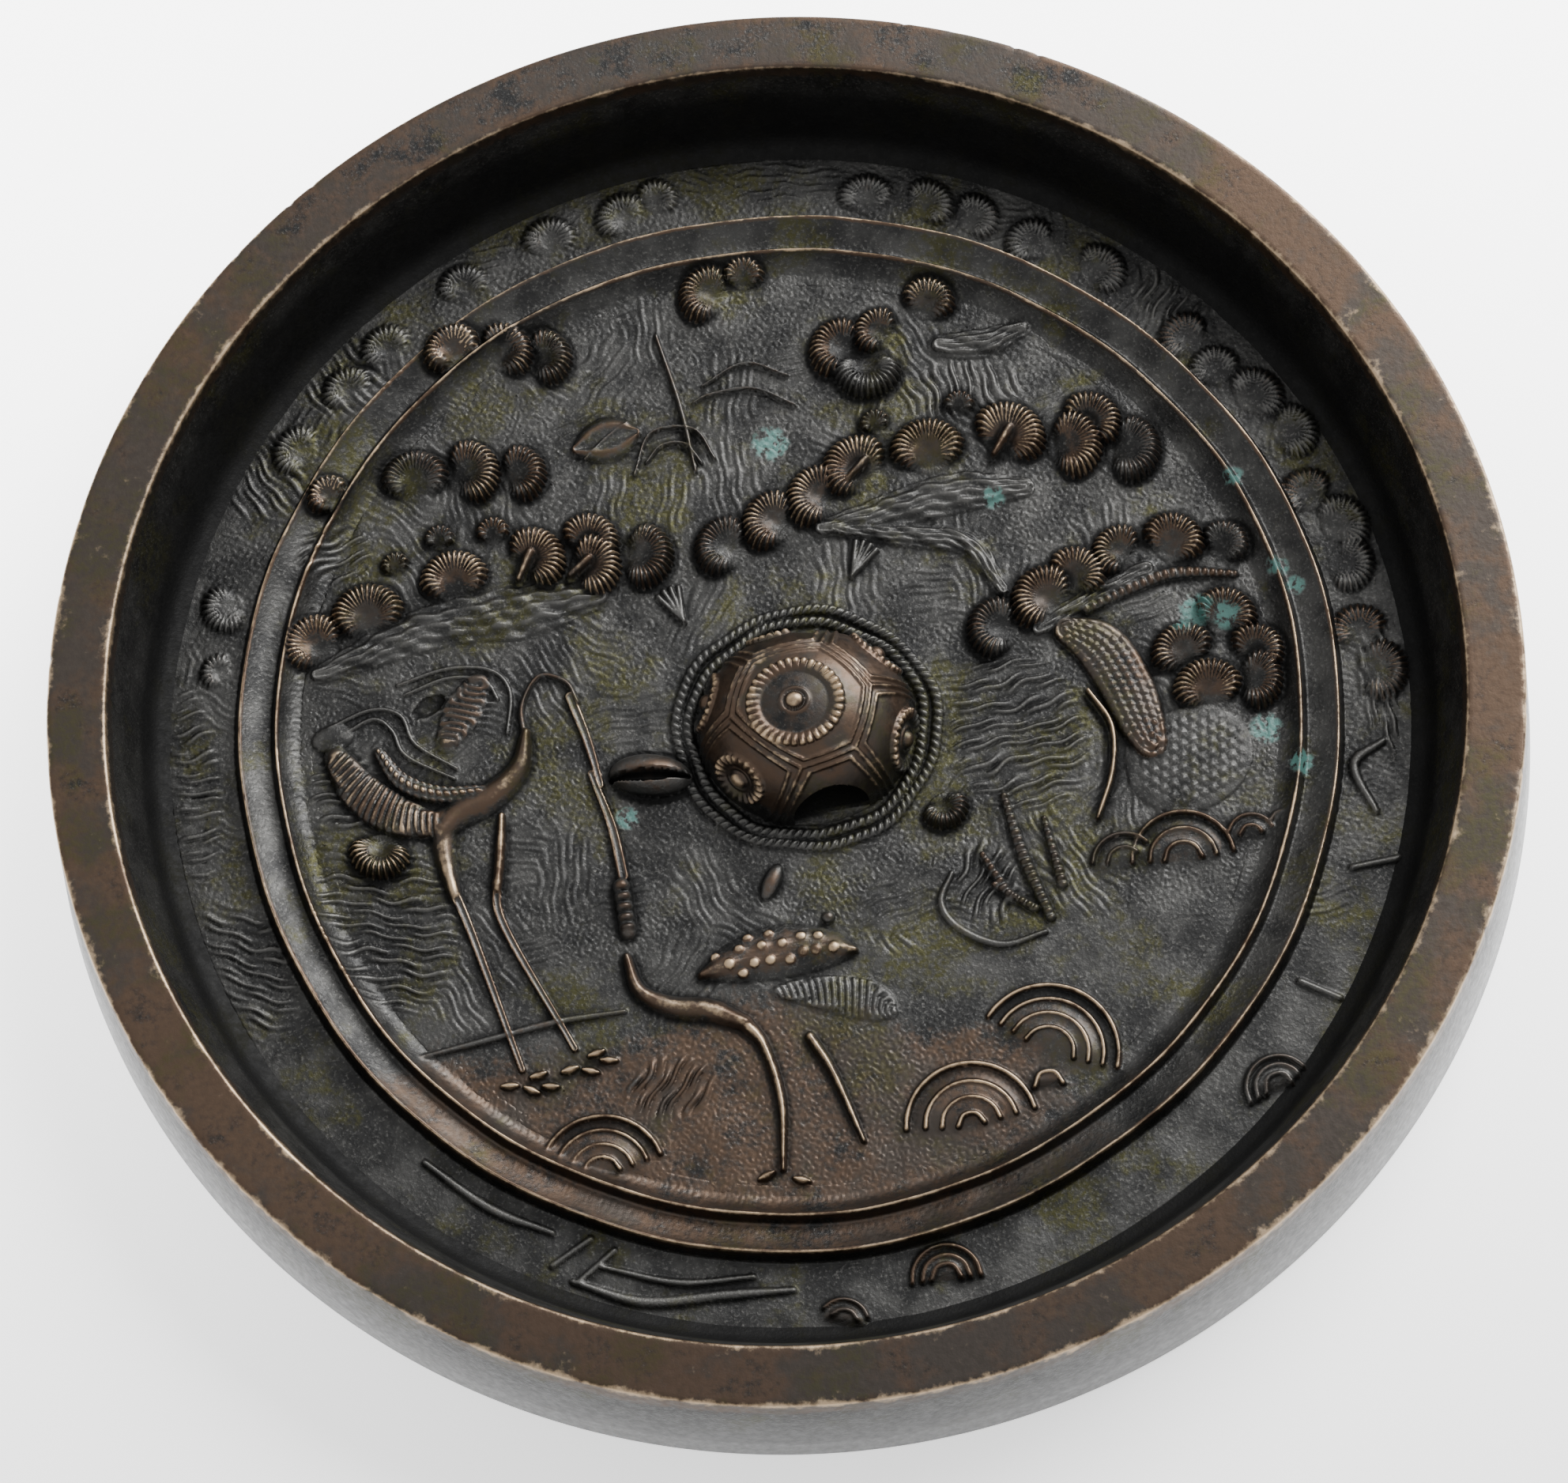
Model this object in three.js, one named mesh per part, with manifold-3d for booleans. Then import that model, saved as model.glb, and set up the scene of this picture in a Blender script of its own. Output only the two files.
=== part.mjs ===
// An old cast bronze mirror, lying on its polished face with the ornament of its back upwards.
// Millimetres, +Z up. The origin is the middle of the polished face, and -Y is the ornament's foot.

import * as THREE from 'three';
import { mergeVertices } from 'three/addons/utils/BufferGeometryUtils.js';
import Module from 'manifold-3d';

const wasm = await Module();
wasm.setup();

// The disc with its tall rim
const HEIGHT = 20;
const FACE_RADIUS = 102;
const RIM_RADIUS = 100;
const RIM_WIDTH = 8.1;
const EDGE = 0.5;
const FIELD_Z = 3.5;
const FIELD_RADIUS = 85.5;
const WALL_FOOT_RADIUS = 88.2;
const WALL_FOOT_Z = 6.2;
const DISC_SIDES = 72;

// The two saw-tooth rings around the picture: a gentle slope inside the crest, a steep one outside
const OUTER_RING = 75.6;
const INNER_RING = 70.5;
const RING_HEIGHT = 2.8;
const RING_VALLEY = 0.7;
const RING_SLOPE = 4;
const RING_STEEP = 0.9;

// How deep every raised figure is rooted in the field, the smallest edge kept and the weld distance
const ROOT = 1.5;
const SMALLEST_EDGE = 0.05;
const WELD = 1e-5;

// Pine clumps: low hollow-topped domes like a scallop, highest towards the apex
const FAN_SIDES = 10;
const FAN_HEIGHT = 2;
const FAN_CREST = 0.72;
const FAN_FOOT = 1.12;
const FAN_HOLLOW = 0.55;
const FAN_STALK = 0.8;
const FAN_BACK = 0.35;
const RING_FAN_LIFT = 2;

// Each clump: x, y, radius and the direction of its apex in degrees
const PINES_LEFT = [
  [-43.5, 26.2, 4.9, 95], [-32.8, 28.3, 4.6, 45], [-25, 26.5, 4.6, 20], [-24.5, 29.5, 4.2, 60],
  [-17.8, 27.5, 5, 20], [-56, 22.5, 5, 110], [-63.5, 19.5, 4.5, 130],
  [-47.5, 42, 4.6, 90], [-40.5, 43, 4.7, 40], [-33.5, 41.5, 4, 40],
  [-33.5, 60.5, 4.2, 45], [-28, 59, 4.2, 30], [-57.5, -11, 4.3, 230],
];
const PINES_TOP = [
  [-3, 64.8, 4.2, 120], [1.8, 66.6, 2.8, 90], [14.5, 54.3, 4.6, 150], [20, 55.8, 3.4, 120],
  [27, 59.5, 3.6, 60], [17.5, 51.5, 4.5, 250],
];
const PINES_RIGHT = [
  [-5, 26.5, 4, 140], [2, 29.5, 4.2, 150], [8.8, 32, 4.5, 150], [14.5, 35.3, 5, 140],
  [24.3, 36.5, 5, 90], [35.3, 37.5, 5.2, 60], [43.5, 35.5, 5, 10], [47, 38, 4.3, 40],
  [51.5, 34, 5, 0], [31, 9.5, 4.2, 150], [38, 12.5, 4.8, 130], [42, 15.5, 3.8, 70],
  [49, 18, 3.8, 140], [56, 18.5, 4.2, 80], [63, 17.5, 3.3, 60], [55.5, 2, 4.2, 110],
  [61.5, 6.5, 4.2, 80], [64.5, 1, 3.8, 60], [58, -4, 4.5, 90], [63.5, -2.5, 4.3, 0],
];
const PINES_ON_RINGS = [
  [-40, 60.5, 4.2, 110], [-59.5, 41, 3, 120],
];

// Clumps of the outer band: angle around the disc, distance from its middle, radius, apex direction
const BAND_PINES = [
  [75, 79.5, 3.2, 90], [69, 80.2, 3.2, 30], [64, 80, 3, 20], [57, 79.6, 3.2, 120],
  [50, 80, 3.4, 30], [38, 80, 3.2, 120], [33.5, 79.4, 3, 90], [29, 80.5, 3.6, 40],
  [24, 81.6, 3.4, 10], [17, 79.8, 3.2, 110], [13, 81.4, 3.6, 40], [9, 80.4, 3.4, 350],
  [1.5, 80, 3.2, 90], [357.5, 81, 3.8, 340], [167, 79.4, 2.4, 150], [160, 80, 3, 200],
  [142, 80, 3.2, 150], [134, 79.8, 3, 120], [128, 80.2, 3, 120], [118, 80.4, 3, 100],
  [108, 80.4, 3.2, 90], [100, 80, 3.2, 130], [96.5, 81.6, 2.6, 60],
];

// Strokes are ridges drawn through points of x, y and half width
const STROKE_SIDES = 4;
const STEPS_PER_SPAN = 2;
const STRAIGHT_STEPS = 1;
const BRANCH_HEIGHT = 1.2;
const BRANCHES = [
  [[-62, 16.5, 0.8], [-52, 18.8, 1.5], [-43, 20, 1.8], [-34, 18.5, 1.6], [-24, 20.8, 0.8]],
  [[10, 28, 1], [20, 25, 1.6], [28, 22.5, 1.6], [32, 15, 1.1]],
  [[12, 31, 0.6], [18, 29.5, 0.9], [25, 32, 0.9], [31, 31.5, 0.8], [37, 29, 0.5]],
  [[43, 10.5, 0.6], [50, 13, 0.8], [56, 14.3, 0.8], [64, 13, 0.5]],
  [[28, 53, 1.2], [34, 52.6, 1.5], [40, 54, 0.9]],
  [[28, -15, 0.6], [29.5, -24, 0.8], [32, -33, 0.6]],
  [[24, -23, 0.5], [27, -29.5, 0.7]],
  [[33, -19, 0.5], [34.2, -28.5, 0.7]],
];
const PLANT_HEIGHT = 1;
const PLANTS = [
  [[-11.5, 60, 0.4], [-9.3, 48.5, 0.7], [-8.3, 38.5, 0.4]],
  [[-24, 43.5, 0.5], [-20, 45, 2.6], [-16.3, 47.5, 0.5]],
];
const SHORE_HEIGHT = 0.7;
const SHORES = [
  [[-56, -41.5, 0.4], [-45, -40, 0.6], [-36, -38.8, 0.6], [-27, -38.6, 0.4]],
  [[19.5, -25, 0.4], [17.5, -29, 0.6], [19.5, -33, 0.7], [25, -36, 0.6], [31, -35, 0.4]],
];

// The crane at the left, its head turned down to its mate's bill
const CRANE_HEIGHT = 1.9;
const LEG_HEIGHT = 1.1;
const CRANE_LEFT = [
  [[-62, 3, 0.9], [-59.5, -2.5, 2.6], [-55, -6.5, 2.8], [-49.5, -8.8, 1.8]],
  [[-56.5, 3, 0.6], [-53.5, -1.6, 1.5], [-49, -4, 1.5], [-44, -4.8, 0.9]],
  [[-36, 3, 1.2], [-37.6, -2, 2], [-42, -5.6, 2.4], [-47, -7.6, 2.6], [-50, -10, 1.8]],
  [[-36, 2, 1.4], [-35.8, 7, 1.2], [-33.2, 11, 1.1], [-29.8, 9.6, 1.4], [-29, 6.5, 1.1]],
];
const CRANE_RIGHT = [
  [[-14, -38.4, 1.3], [-20, -38, 1.5], [-24.8, -35.8, 1.5], [-26, -31, 1.3], [-25.6, -21, 1.7]],
  [[-16, -34.8, 0.7], [-10.5, -33.6, 2.6], [-4.5, -33.1, 3.5], [1, -33.8, 2.4], [5, -35.4, 0.6]],
  [[-6, -38.4, 0.9], [0, -39.5, 2.2], [6, -41.5, 2.6], [9, -43.5, 0.8]],
];
const CRANE_LIMBS = [
  [[-29, 7.5, 0.9], [-27.6, 1, 0.7], [-26.6, -6, 0.4]],
  [[-25.5, -20.5, 1], [-26.2, -12, 0.7], [-27.8, -4, 0.4]],
  [[-49, -9, 1.6], [-48.7, -18, 0.9], [-46.5, -25, 0.6], [-41.6, -45, 0.5]],
  [[-40.5, -8.5, 1], [-42.5, -18, 0.7], [-42, -24.5, 0.6], [-34.2, -43, 0.5]],
  [[-14, -39.3, 1.3], [-9, -44, 1.1], [-7.2, -54, 0.8], [-8.2, -62, 0.5]],
  [[-2.5, -44.5, 0.8], [0.5, -51, 0.7], [3, -60.5, 0.5]],
];

// The beads on the right-hand crane's wing, in rows of y, first x, last x and number
const WING_BEADS = [[-31.6, -9, -0.5, 5], [-33.8, -12, 2, 7], [-35.6, -9.5, 0, 4]];
const BEAD_RADIUS = 0.7;
const BEAD_HEIGHT = 2.6;
const BEAD_SIDES = 6;

// Toes, in x, y and direction in degrees
const TOE_LENGTH = 2;
const TOE_HALF_WIDTH = 0.6;
const TOES = [
  [-43.5, -47, 175], [-39.5, -46, 10], [-40.6, -48, 330], [-35.2, -45.4, 190], [-31.4, -44, 12],
  [-32.4, -46.4, 340], [-10.6, -64, 200], [-6, -64.6, 340],
];

// The scaly body at the right, with its smooth edge
const SCALY_HEIGHT = 1.7;
const SCALY_BODY = [
  [[39.5, 8.5, 1.2], [44, 6.4, 3.4], [47.6, -1, 4], [48, -9, 3.6], [44.5, -17, 1.6]],
  [[41.5, -1.5, 0.5], [44, -7, 0.8], [43.2, -13.5, 0.8], [40.3, -20, 0.5]],
];

// Rocks and waves: nested arcs of centre x, y, radii, and first and last angle in degrees
const ARC_HALF_WIDTH = 0.6;
const ARC_HEIGHT = 1.3;
const ARC_LEAST_STEPS = 3;
const ROCKS = [
  [-32.5, -60.8, [2.2, 4.6, 7], 15, 165],
  [17.5, -60.5, [2.4, 5.4, 8.5], 20, 170],
  [29.5, -55, [2.4, 6.5, 10.5], -15, 110],
  [51, -27.5, [2.6, 6], 5, 175],
  [42.5, -24.6, [3], 30, 180],
  [61, -24.6, [3], 0, 150],
  [11.4, -81.2, [2, 4.2], 0, 180],
  [-3, -85.6, [3.2], 10, 130],
  [59, -61, [2.2, 4.2], 0, 200],
  [-6.5, 41, [2.4, 4.8], 20, 180],
  [0, 45, [5.6], 40, 150],
];

// Waves, reeds and slabs of the outer band
const WAVE_HEIGHT = 1;
const WAVES = [
  [[-9, -80, 0.5], [-18, -79.5, 0.9], [-29, -79, 0.9], [-38, -75, 0.5]],
  [[-40, -68, 0.5], [-48, -63.5, 0.8], [-56, -56, 0.5]],
  [[-32, -71.5, 0.5], [-37, -75, 0.5]],
  [[-35, -69.5, 0.5], [-40.5, -72.5, 0.5]],
  [[73.5, -31.5, 0.5], [83, -30.8, 0.6]],
  [[64, -46.5, 0.5], [69, -49.6, 0.5]],
  [[80.5, -14, 0.5], [76, -17, 0.8], [78, -24, 0.5]],
];

// The tortoise that is the knob for the cord
const KNOB = { x: 2.5, y: -1.5, halfLength: 15, halfWidth: 14, height: 12.5 };
const KNOB_SIDES = 20;
const KNOB_ROWS = 8;
const PLATE_RISE = 1.05;
const PLATE_HALF_ANGLE = 36;
const PLATE_TILT = 72;
const PLATE_TURN = 40;
const PLATE_COUNT = 6;
const PLATE_EDGES = 6;
const SHELL_BOSS = { radius: 1.7, rise: 0.9 };
const BORDER_RADII = [16.1, 17.8];
const BORDER_WIDTH = 0.9;
const BORDER_HEIGHT = 0.8;
const BORDER_SIDES = 28;

// The hole for the cord: an arch under the shell from the front of the mirror to its back
const HOLE_WIDTH = 10.5;
const HOLE_HEIGHT = 7.2;
const HOLE_FLOOR = 0.4;
const HOLE_X = 4.4;
const HOLE_LENGTH = 36;
const HOLE_ARC_STEPS = 6;

// The tortoise's head, feet and tail, and other plain mounds: x, y, half length, half width, height, turn
const MOUND_SIDES = 10;
const MOUND_ROWS = 4;
const MOUNDS = [
  [-19.6, -5.6, 5.4, 2.7, 4.2, -12],
  [-13, 18.4, 3.4, 1.9, 1.5, 110],
  [12.4, 21.6, 3.4, 2, 1.5, 60],
  [20, -16.4, 3.4, 2.4, 1.6, -50],
  [-5, -23, 2.8, 1.2, 1.3, 60],
  [54, -13, 8.5, 7, 1.3, 20],
  [-62.6, 6, 3.1, 2, 1.3, 10],
  [-43, 8, 3.4, 2.4, 1.1, 50],
];

const radians = THREE.MathUtils.degToRad;

// A three.js geometry as a solid that can be joined and cut
function solid(geometry) {
  geometry.deleteAttribute('normal');
  geometry.deleteAttribute('uv');
  const merged = mergeVertices(geometry, WELD);
  const mesh = new wasm.Mesh({
    numProp: 3,
    vertProperties: merged.attributes.position.array,
    triVerts: new Uint32Array(merged.index.array),
  });
  return new wasm.Manifold(mesh);
}

// Moves every corner of a geometry with a function of its place
function reshape(geometry, move) {
  const position = geometry.attributes.position;
  const corner = new THREE.Vector3();
  for (let i = 0; i < position.count; i += 1) {
    corner.fromBufferAttribute(position, i);
    move(corner);
    position.setXYZ(i, corner.x, corner.y, corner.z);
  }
  return geometry;
}

// A profile of radius and height turned around the Z axis
function turned(profile, sides) {
  const points = profile.map(([radius, z]) => new THREE.Vector2(radius, z));
  return new THREE.LatheGeometry(points, sides).rotateX(Math.PI / 2);
}

function disc() {
  const rimInner = RIM_RADIUS - RIM_WIDTH;
  return turned([
    [0, 0],
    [FACE_RADIUS - EDGE, 0],
    [FACE_RADIUS, EDGE],
    [RIM_RADIUS, HEIGHT - EDGE],
    [RIM_RADIUS - EDGE, HEIGHT],
    [rimInner, HEIGHT],
    [rimInner - EDGE, HEIGHT - EDGE],
    [WALL_FOOT_RADIUS, WALL_FOOT_Z],
    [FIELD_RADIUS, FIELD_Z],
    [OUTER_RING + RING_STEEP, FIELD_Z],
    [OUTER_RING, FIELD_Z + RING_HEIGHT],
    [INNER_RING + RING_STEEP, FIELD_Z + RING_VALLEY],
    [INNER_RING, FIELD_Z + RING_HEIGHT],
    [INNER_RING - RING_SLOPE, FIELD_Z],
    [0, FIELD_Z],
  ], DISC_SIDES);
}

function pineFan(x, y, radius, apex, lift = 0) {
  const fan = turned([[0, -ROOT], [FAN_FOOT, -ROOT], [FAN_CREST, 1], [0, FAN_HOLLOW]], FAN_SIDES);
  reshape(fan, (p) => {
    const towardsApex = (1 + p.x) / 2;
    const reach = radius * THREE.MathUtils.lerp(FAN_STALK, 1, towardsApex);
    p.x *= reach;
    p.y *= reach;
    const rise = lift + p.z * FAN_HEIGHT * THREE.MathUtils.lerp(FAN_BACK, 1, towardsApex);
    p.z = FIELD_Z + (p.z > 0 ? rise : p.z);
  });
  return fan.rotateZ(radians(apex)).translate(x, y, 0);
}

function bandFan(angle, distance, radius, apex) {
  const at = radians(angle);
  return pineFan(distance * Math.cos(at), distance * Math.sin(at), radius, apex);
}

// A ridge with a roof-shaped section along a smooth line through the points
function stroke(points, height, stepsPerSpan = STEPS_PER_SPAN) {
  const line = new THREE.CatmullRomCurve3(points.map(([x, y]) => new THREE.Vector3(x, y, FIELD_Z)));
  const spans = points.length - 1;
  const steps = spans === 1 ? STRAIGHT_STEPS : spans * stepsPerSpan;
  const bar = new THREE.CylinderGeometry(1, 1, 1, STROKE_SIDES, steps);
  return reshape(bar, (p) => {
    const along = p.y + 0.5;
    const span = Math.min(Math.floor(along * spans), spans - 1);
    const width = THREE.MathUtils.lerp(points[span][2], points[span + 1][2], along * spans - span);
    const centre = line.getPoint(along);
    const way = line.getTangent(along);
    const up = p.z > 0 ? p.z * height : p.z * ROOT;
    p.set(centre.x + way.y * width * p.x, centre.y - way.x * width * p.x, centre.z + up);
  });
}

function arc(x, y, radius, from, to) {
  const steps = Math.max(ARC_LEAST_STEPS, Math.round(radius));
  const points = [];
  for (let i = 0; i <= steps; i += 1) {
    const angle = radians(THREE.MathUtils.lerp(from, to, i / steps));
    points.push([x + radius * Math.cos(angle), y + radius * Math.sin(angle), ARC_HALF_WIDTH]);
  }
  return stroke(points, ARC_HEIGHT, 1);
}

function rock(x, y, radii, from, to) {
  return radii.map((radius) => arc(x, y, radius, from, to));
}

function toe(x, y, turn) {
  const dx = TOE_LENGTH * Math.cos(radians(turn)) / 2;
  const dy = TOE_LENGTH * Math.sin(radians(turn)) / 2;
  const tip = TOE_HALF_WIDTH / 2;
  return stroke([[x - dx, y - dy, tip], [x, y, TOE_HALF_WIDTH], [x + dx, y + dy, tip]], LEG_HEIGHT);
}

// A half-buried ellipsoid
function mound(x, y, halfLength, halfWidth, height, turn = 0, sides = MOUND_SIDES, rows = MOUND_ROWS) {
  const ball = new THREE.SphereGeometry(1, sides, rows).rotateX(Math.PI / 2);
  reshape(ball, (p) => {
    p.set(p.x * halfLength, p.y * halfWidth, FIELD_Z + p.z * (p.z > 0 ? height : ROOT));
  });
  return ball.rotateZ(radians(turn)).translate(x, y, 0);
}

function wingBeads() {
  return WING_BEADS.flatMap(([y, first, last, count]) => Array.from({ length: count }, (_, i) => {
    const x = THREE.MathUtils.lerp(first, last, i / (count - 1));
    return mound(x, y, BEAD_RADIUS, BEAD_RADIUS, BEAD_HEIGHT, 0, BEAD_SIDES);
  }));
}

function borderRing(radius) {
  const section = [[-1, -1], [1, -1], [0, 1], [-1, -1]];
  const profile = section.map(([across, up]) => [radius + across * BORDER_WIDTH, up * BORDER_HEIGHT]);
  return turned(profile, BORDER_SIDES).translate(KNOB.x, KNOB.y, FIELD_Z);
}

// A six-sided pyramid from the middle of the knob's foot, through one plate of the shell
function plateWedge(tilt, azimuth) {
  const reach = 2 * KNOB.halfLength;
  const wedge = new THREE.ConeGeometry(reach * Math.tan(radians(PLATE_HALF_ANGLE)), reach, PLATE_EDGES);
  wedge.translate(0, -reach / 2, 0).rotateX(-Math.PI / 2);
  return wedge.rotateY(radians(tilt)).rotateZ(radians(azimuth)).translate(KNOB.x, KNOB.y, FIELD_Z);
}

// The tortoise's back: a dome with raised six-sided plates and a boss on the middle one
function shell() {
  const dome = (scale) => solid(mound(
    KNOB.x, KNOB.y, KNOB.halfLength * scale, KNOB.halfWidth * scale, KNOB.height * scale,
    0, KNOB_SIDES, KNOB_ROWS,
  ));
  const wedges = [solid(plateWedge(0, PLATE_TURN))];
  for (let i = 0; i < PLATE_COUNT; i += 1) {
    wedges.push(solid(plateWedge(PLATE_TILT, PLATE_TURN + i * 360 / PLATE_COUNT)));
  }
  const boss = solid(mound(
    KNOB.x, KNOB.y, SHELL_BOSS.radius, SHELL_BOSS.radius, KNOB.height * PLATE_RISE + SHELL_BOSS.rise,
  ));
  const plates = wedges.map((wedge) => dome(PLATE_RISE).intersect(wedge));
  return wasm.Manifold.union([dome(1), boss, ...plates]);
}

function cordHole() {
  const half = HOLE_WIDTH / 2;
  const arch = new THREE.Shape();
  arch.moveTo(-half, HOLE_FLOOR);
  arch.lineTo(half, HOLE_FLOOR);
  arch.lineTo(half, HOLE_HEIGHT - half);
  arch.absarc(0, HOLE_HEIGHT - half, half, 0, Math.PI, false);
  const hole = new THREE.ExtrudeGeometry(arch, {
    depth: HOLE_LENGTH, bevelEnabled: false, curveSegments: HOLE_ARC_STEPS,
  });
  return hole.translate(0, 0, -HOLE_LENGTH / 2).rotateX(Math.PI / 2).translate(HOLE_X, KNOB.y, FIELD_Z);
}

function figures() {
  const ridges = [
    [BRANCHES, BRANCH_HEIGHT], [PLANTS, PLANT_HEIGHT], [SHORES, SHORE_HEIGHT], [WAVES, WAVE_HEIGHT],
    [CRANE_LEFT, CRANE_HEIGHT], [CRANE_RIGHT, CRANE_HEIGHT], [CRANE_LIMBS, LEG_HEIGHT],
    [SCALY_BODY, SCALY_HEIGHT],
  ];
  return [
    ...[...PINES_LEFT, ...PINES_TOP, ...PINES_RIGHT].map((fan) => pineFan(...fan)),
    ...PINES_ON_RINGS.map((fan) => pineFan(...fan, RING_FAN_LIFT)),
    ...BAND_PINES.map((fan) => bandFan(...fan)),
    ...ridges.flatMap(([lines, height]) => lines.map((points) => stroke(points, height))),
    ...ROCKS.flatMap((nest) => rock(...nest)),
    ...TOES.map((place) => toe(...place)),
    ...MOUNDS.map((place) => mound(...place)),
    ...wingBeads(),
    ...BORDER_RADII.map(borderRing),
  ];
}

// The whole casting as one closed body
function casting() {
  const tortoise = shell().subtract(solid(cordHole()));
  const whole = wasm.Manifold.union([solid(disc()), ...figures().map(solid), tortoise]);
  return whole.simplify(SMALLEST_EDGE).getMesh();
}

function mirror() {
  const { vertProperties, triVerts } = casting();
  const geometry = new THREE.BufferGeometry();
  geometry.setAttribute('position', new THREE.BufferAttribute(vertProperties, 3));
  geometry.setIndex(new THREE.BufferAttribute(triVerts, 1));
  geometry.computeVertexNormals();
  const bronze = new THREE.MeshStandardMaterial({ color: 0x4a4038, roughness: 0.45, metalness: 0.9 });
  const mesh = new THREE.Mesh(geometry, bronze);
  mesh.name = 'mirror';
  return mesh;
}

const object = new THREE.Group();
object.add(mirror());

export default object;
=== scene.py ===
import math

import bmesh
import bpy
import numpy as np
from mathutils import Matrix, Vector


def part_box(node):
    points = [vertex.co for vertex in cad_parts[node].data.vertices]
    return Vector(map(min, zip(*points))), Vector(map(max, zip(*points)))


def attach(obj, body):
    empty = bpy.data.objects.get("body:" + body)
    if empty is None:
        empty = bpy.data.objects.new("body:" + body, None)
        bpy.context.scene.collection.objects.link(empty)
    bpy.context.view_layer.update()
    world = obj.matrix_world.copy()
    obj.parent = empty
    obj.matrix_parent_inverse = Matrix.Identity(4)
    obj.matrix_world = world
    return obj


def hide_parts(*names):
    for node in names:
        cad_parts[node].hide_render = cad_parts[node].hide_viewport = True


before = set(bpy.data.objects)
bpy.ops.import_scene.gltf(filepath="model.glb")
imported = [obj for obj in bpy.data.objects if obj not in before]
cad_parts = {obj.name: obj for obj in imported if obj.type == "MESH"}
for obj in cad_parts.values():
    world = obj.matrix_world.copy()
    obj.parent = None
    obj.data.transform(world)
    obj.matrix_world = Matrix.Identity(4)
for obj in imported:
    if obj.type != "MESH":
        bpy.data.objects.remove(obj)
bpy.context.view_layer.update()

# The relief is worked out in millimetres, with the origin in the middle of the polished face.
MM = 0.001
LOW, HIGH = (np.array(corner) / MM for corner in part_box("mirror"))
HEIGHT = HIGH[2] - LOW[2]
FACE_RADIUS = (HIGH[0] - LOW[0]) / 2
SEED = 7

# The disc and its rim
RIM_RADIUS = FACE_RADIUS - 2
RIM_INNER = RIM_RADIUS - 8.1
EDGE = 0.5
FIELD_Z = 3.5
FIELD_RADIUS = 85.5
WALL_FOOT = (88.2, 6.2)
FLOOR_Z = 2.4
DISC_SIDES = 900
NICK_ZONES = ((200, 236, 60), (326, 352, 26), (60, 75, 6), (120, 190, 14))
NICK_DEPTH = 0.4
RIM_WEAR = 0.55

# The two saw-tooth rings
OUTER_RING = 75.6
INNER_RING = 70.5
RING_HEIGHT = 2.8
RING_VALLEY = 0.7
RING_SLOPE = 3.2
RING_STEEP = 0.9
RING_WOBBLE = 0.22

# Grids of the relief
PICTURE_RADIUS = 68.2
PICTURE_STEP = 0.17
PICTURE_CUTS = (14.0, -24.0)
CUT_OVERLAP = 0.9
DIP = 0.7
DIP_WIDTH = 0.8
PICTURE_TRIANGLES = 165000
BAND_LOW = 65.2
BAND_HIGH = 86.6
BAND_STEPS = 86
BAND_SIDES = 1000
SOFT_FOOT = 0.3
GRAIN = 0.06
UNEVEN = 0.07
# The ring crests are rubbed bare and drawn as a thin painted highlight line.
CREST_WEAR_AND_HIGHLIGHT = 2.2
CREST_LINE = 0.36
# RING_SHEEN is a painted sheen on the ring slopes.
RING_SHEEN = 0.05
SHORE_WEAR = 0.46

# Pine clumps, each x, y, radius, the direction of its apex in degrees and how far it is rubbed
FAN_HEIGHT = 2.6
FAN_CREST = 0.7
FAN_HOLLOW = 0.42
RIB_PITCH = 1.0
RIB_DEPTH = 0.75
RING_FAN_LIFT = 1.6
BAND_TALL = 0.38
FAN_RUB = 1.3
PINES = (
    (-51.5, 30, 2.2, 100, 0.4), (-45, 33, 2.4, 90, 0.3), (-37.5, 33, 2.6, 90, 0.5),
    (-17.8, 27.0, 5.2, 350, 0.4), (-24.5, 29.8, 4.6, 55, 0.6), (-25, 26.3, 5.0, 5, 0.9),
    (-32.8, 28.3, 5.2, 30, 0.9), (-43.5, 26.2, 5.2, 95, 0.9), (-56, 22.5, 5.6, 95, 0.7),
    (-63.5, 19.5, 5.0, 130, 0.6), (-33.5, 41.5, 4.6, 10, 0.4), (-40.5, 42.6, 5.2, 15, 0.5),
    (-47.5, 42, 5.2, 90, 0.3), (-28, 58.6, 4.6, 10, 0.4), (-33.5, 60.2, 4.8, 35, 0.5),
    (-57.5, -11, 4.6, 250, 0.6), (1.8, 67.0, 3.2, 80, 0.5), (-3, 64.8, 4.8, 150, 0.5),
    (27, 59.3, 4.2, 60, 0.6), (20, 55.8, 4.0, 140, 0.5), (14.5, 54.0, 5.0, 150, 0.5),
    (17.5, 51.3, 5.2, 265, 0.1), (-5, 26.3, 5.0, 150, 0.3), (2, 29.2, 5.0, 150, 0.6),
    (8.8, 32, 5.2, 150, 0.8), (14.5, 35.3, 5.6, 130, 0.8), (24.3, 36.5, 5.6, 90, 0.9),
    (47, 38, 5.0, 40, 0.6), (51.5, 33.6, 5.4, 350, 0.25), (43.5, 35.3, 5.4, 0, 0.8),
    (35.3, 37.3, 5.8, 50, 0.95), (31, 9.2, 5.0, 160, 0.3), (42, 15.5, 4.6, 50, 0.6),
    (38, 12.5, 5.4, 140, 0.8), (63, 17.3, 3.8, 50, 0.2), (49, 18, 4.4, 140, 0.5),
    (56, 18.5, 4.8, 60, 0.6), (65, 1, 4.4, 50, 0.5), (61.5, 6.5, 4.8, 60, 0.5),
    (55.5, 2, 4.8, 110, 0.5), (64, -2.8, 4.6, 350, 0.4), (58, -4, 5.2, 95, 0.9),
    (17.5, 42, 2.4, 100, 0.3), (29.5, 43.2, 2.4, 80, 0.3),
)
RING_PINES = ((-40, 60.5, 4.6, 115, 0.7), (-59.5, 41, 3.4, 125, 0.7))
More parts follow.
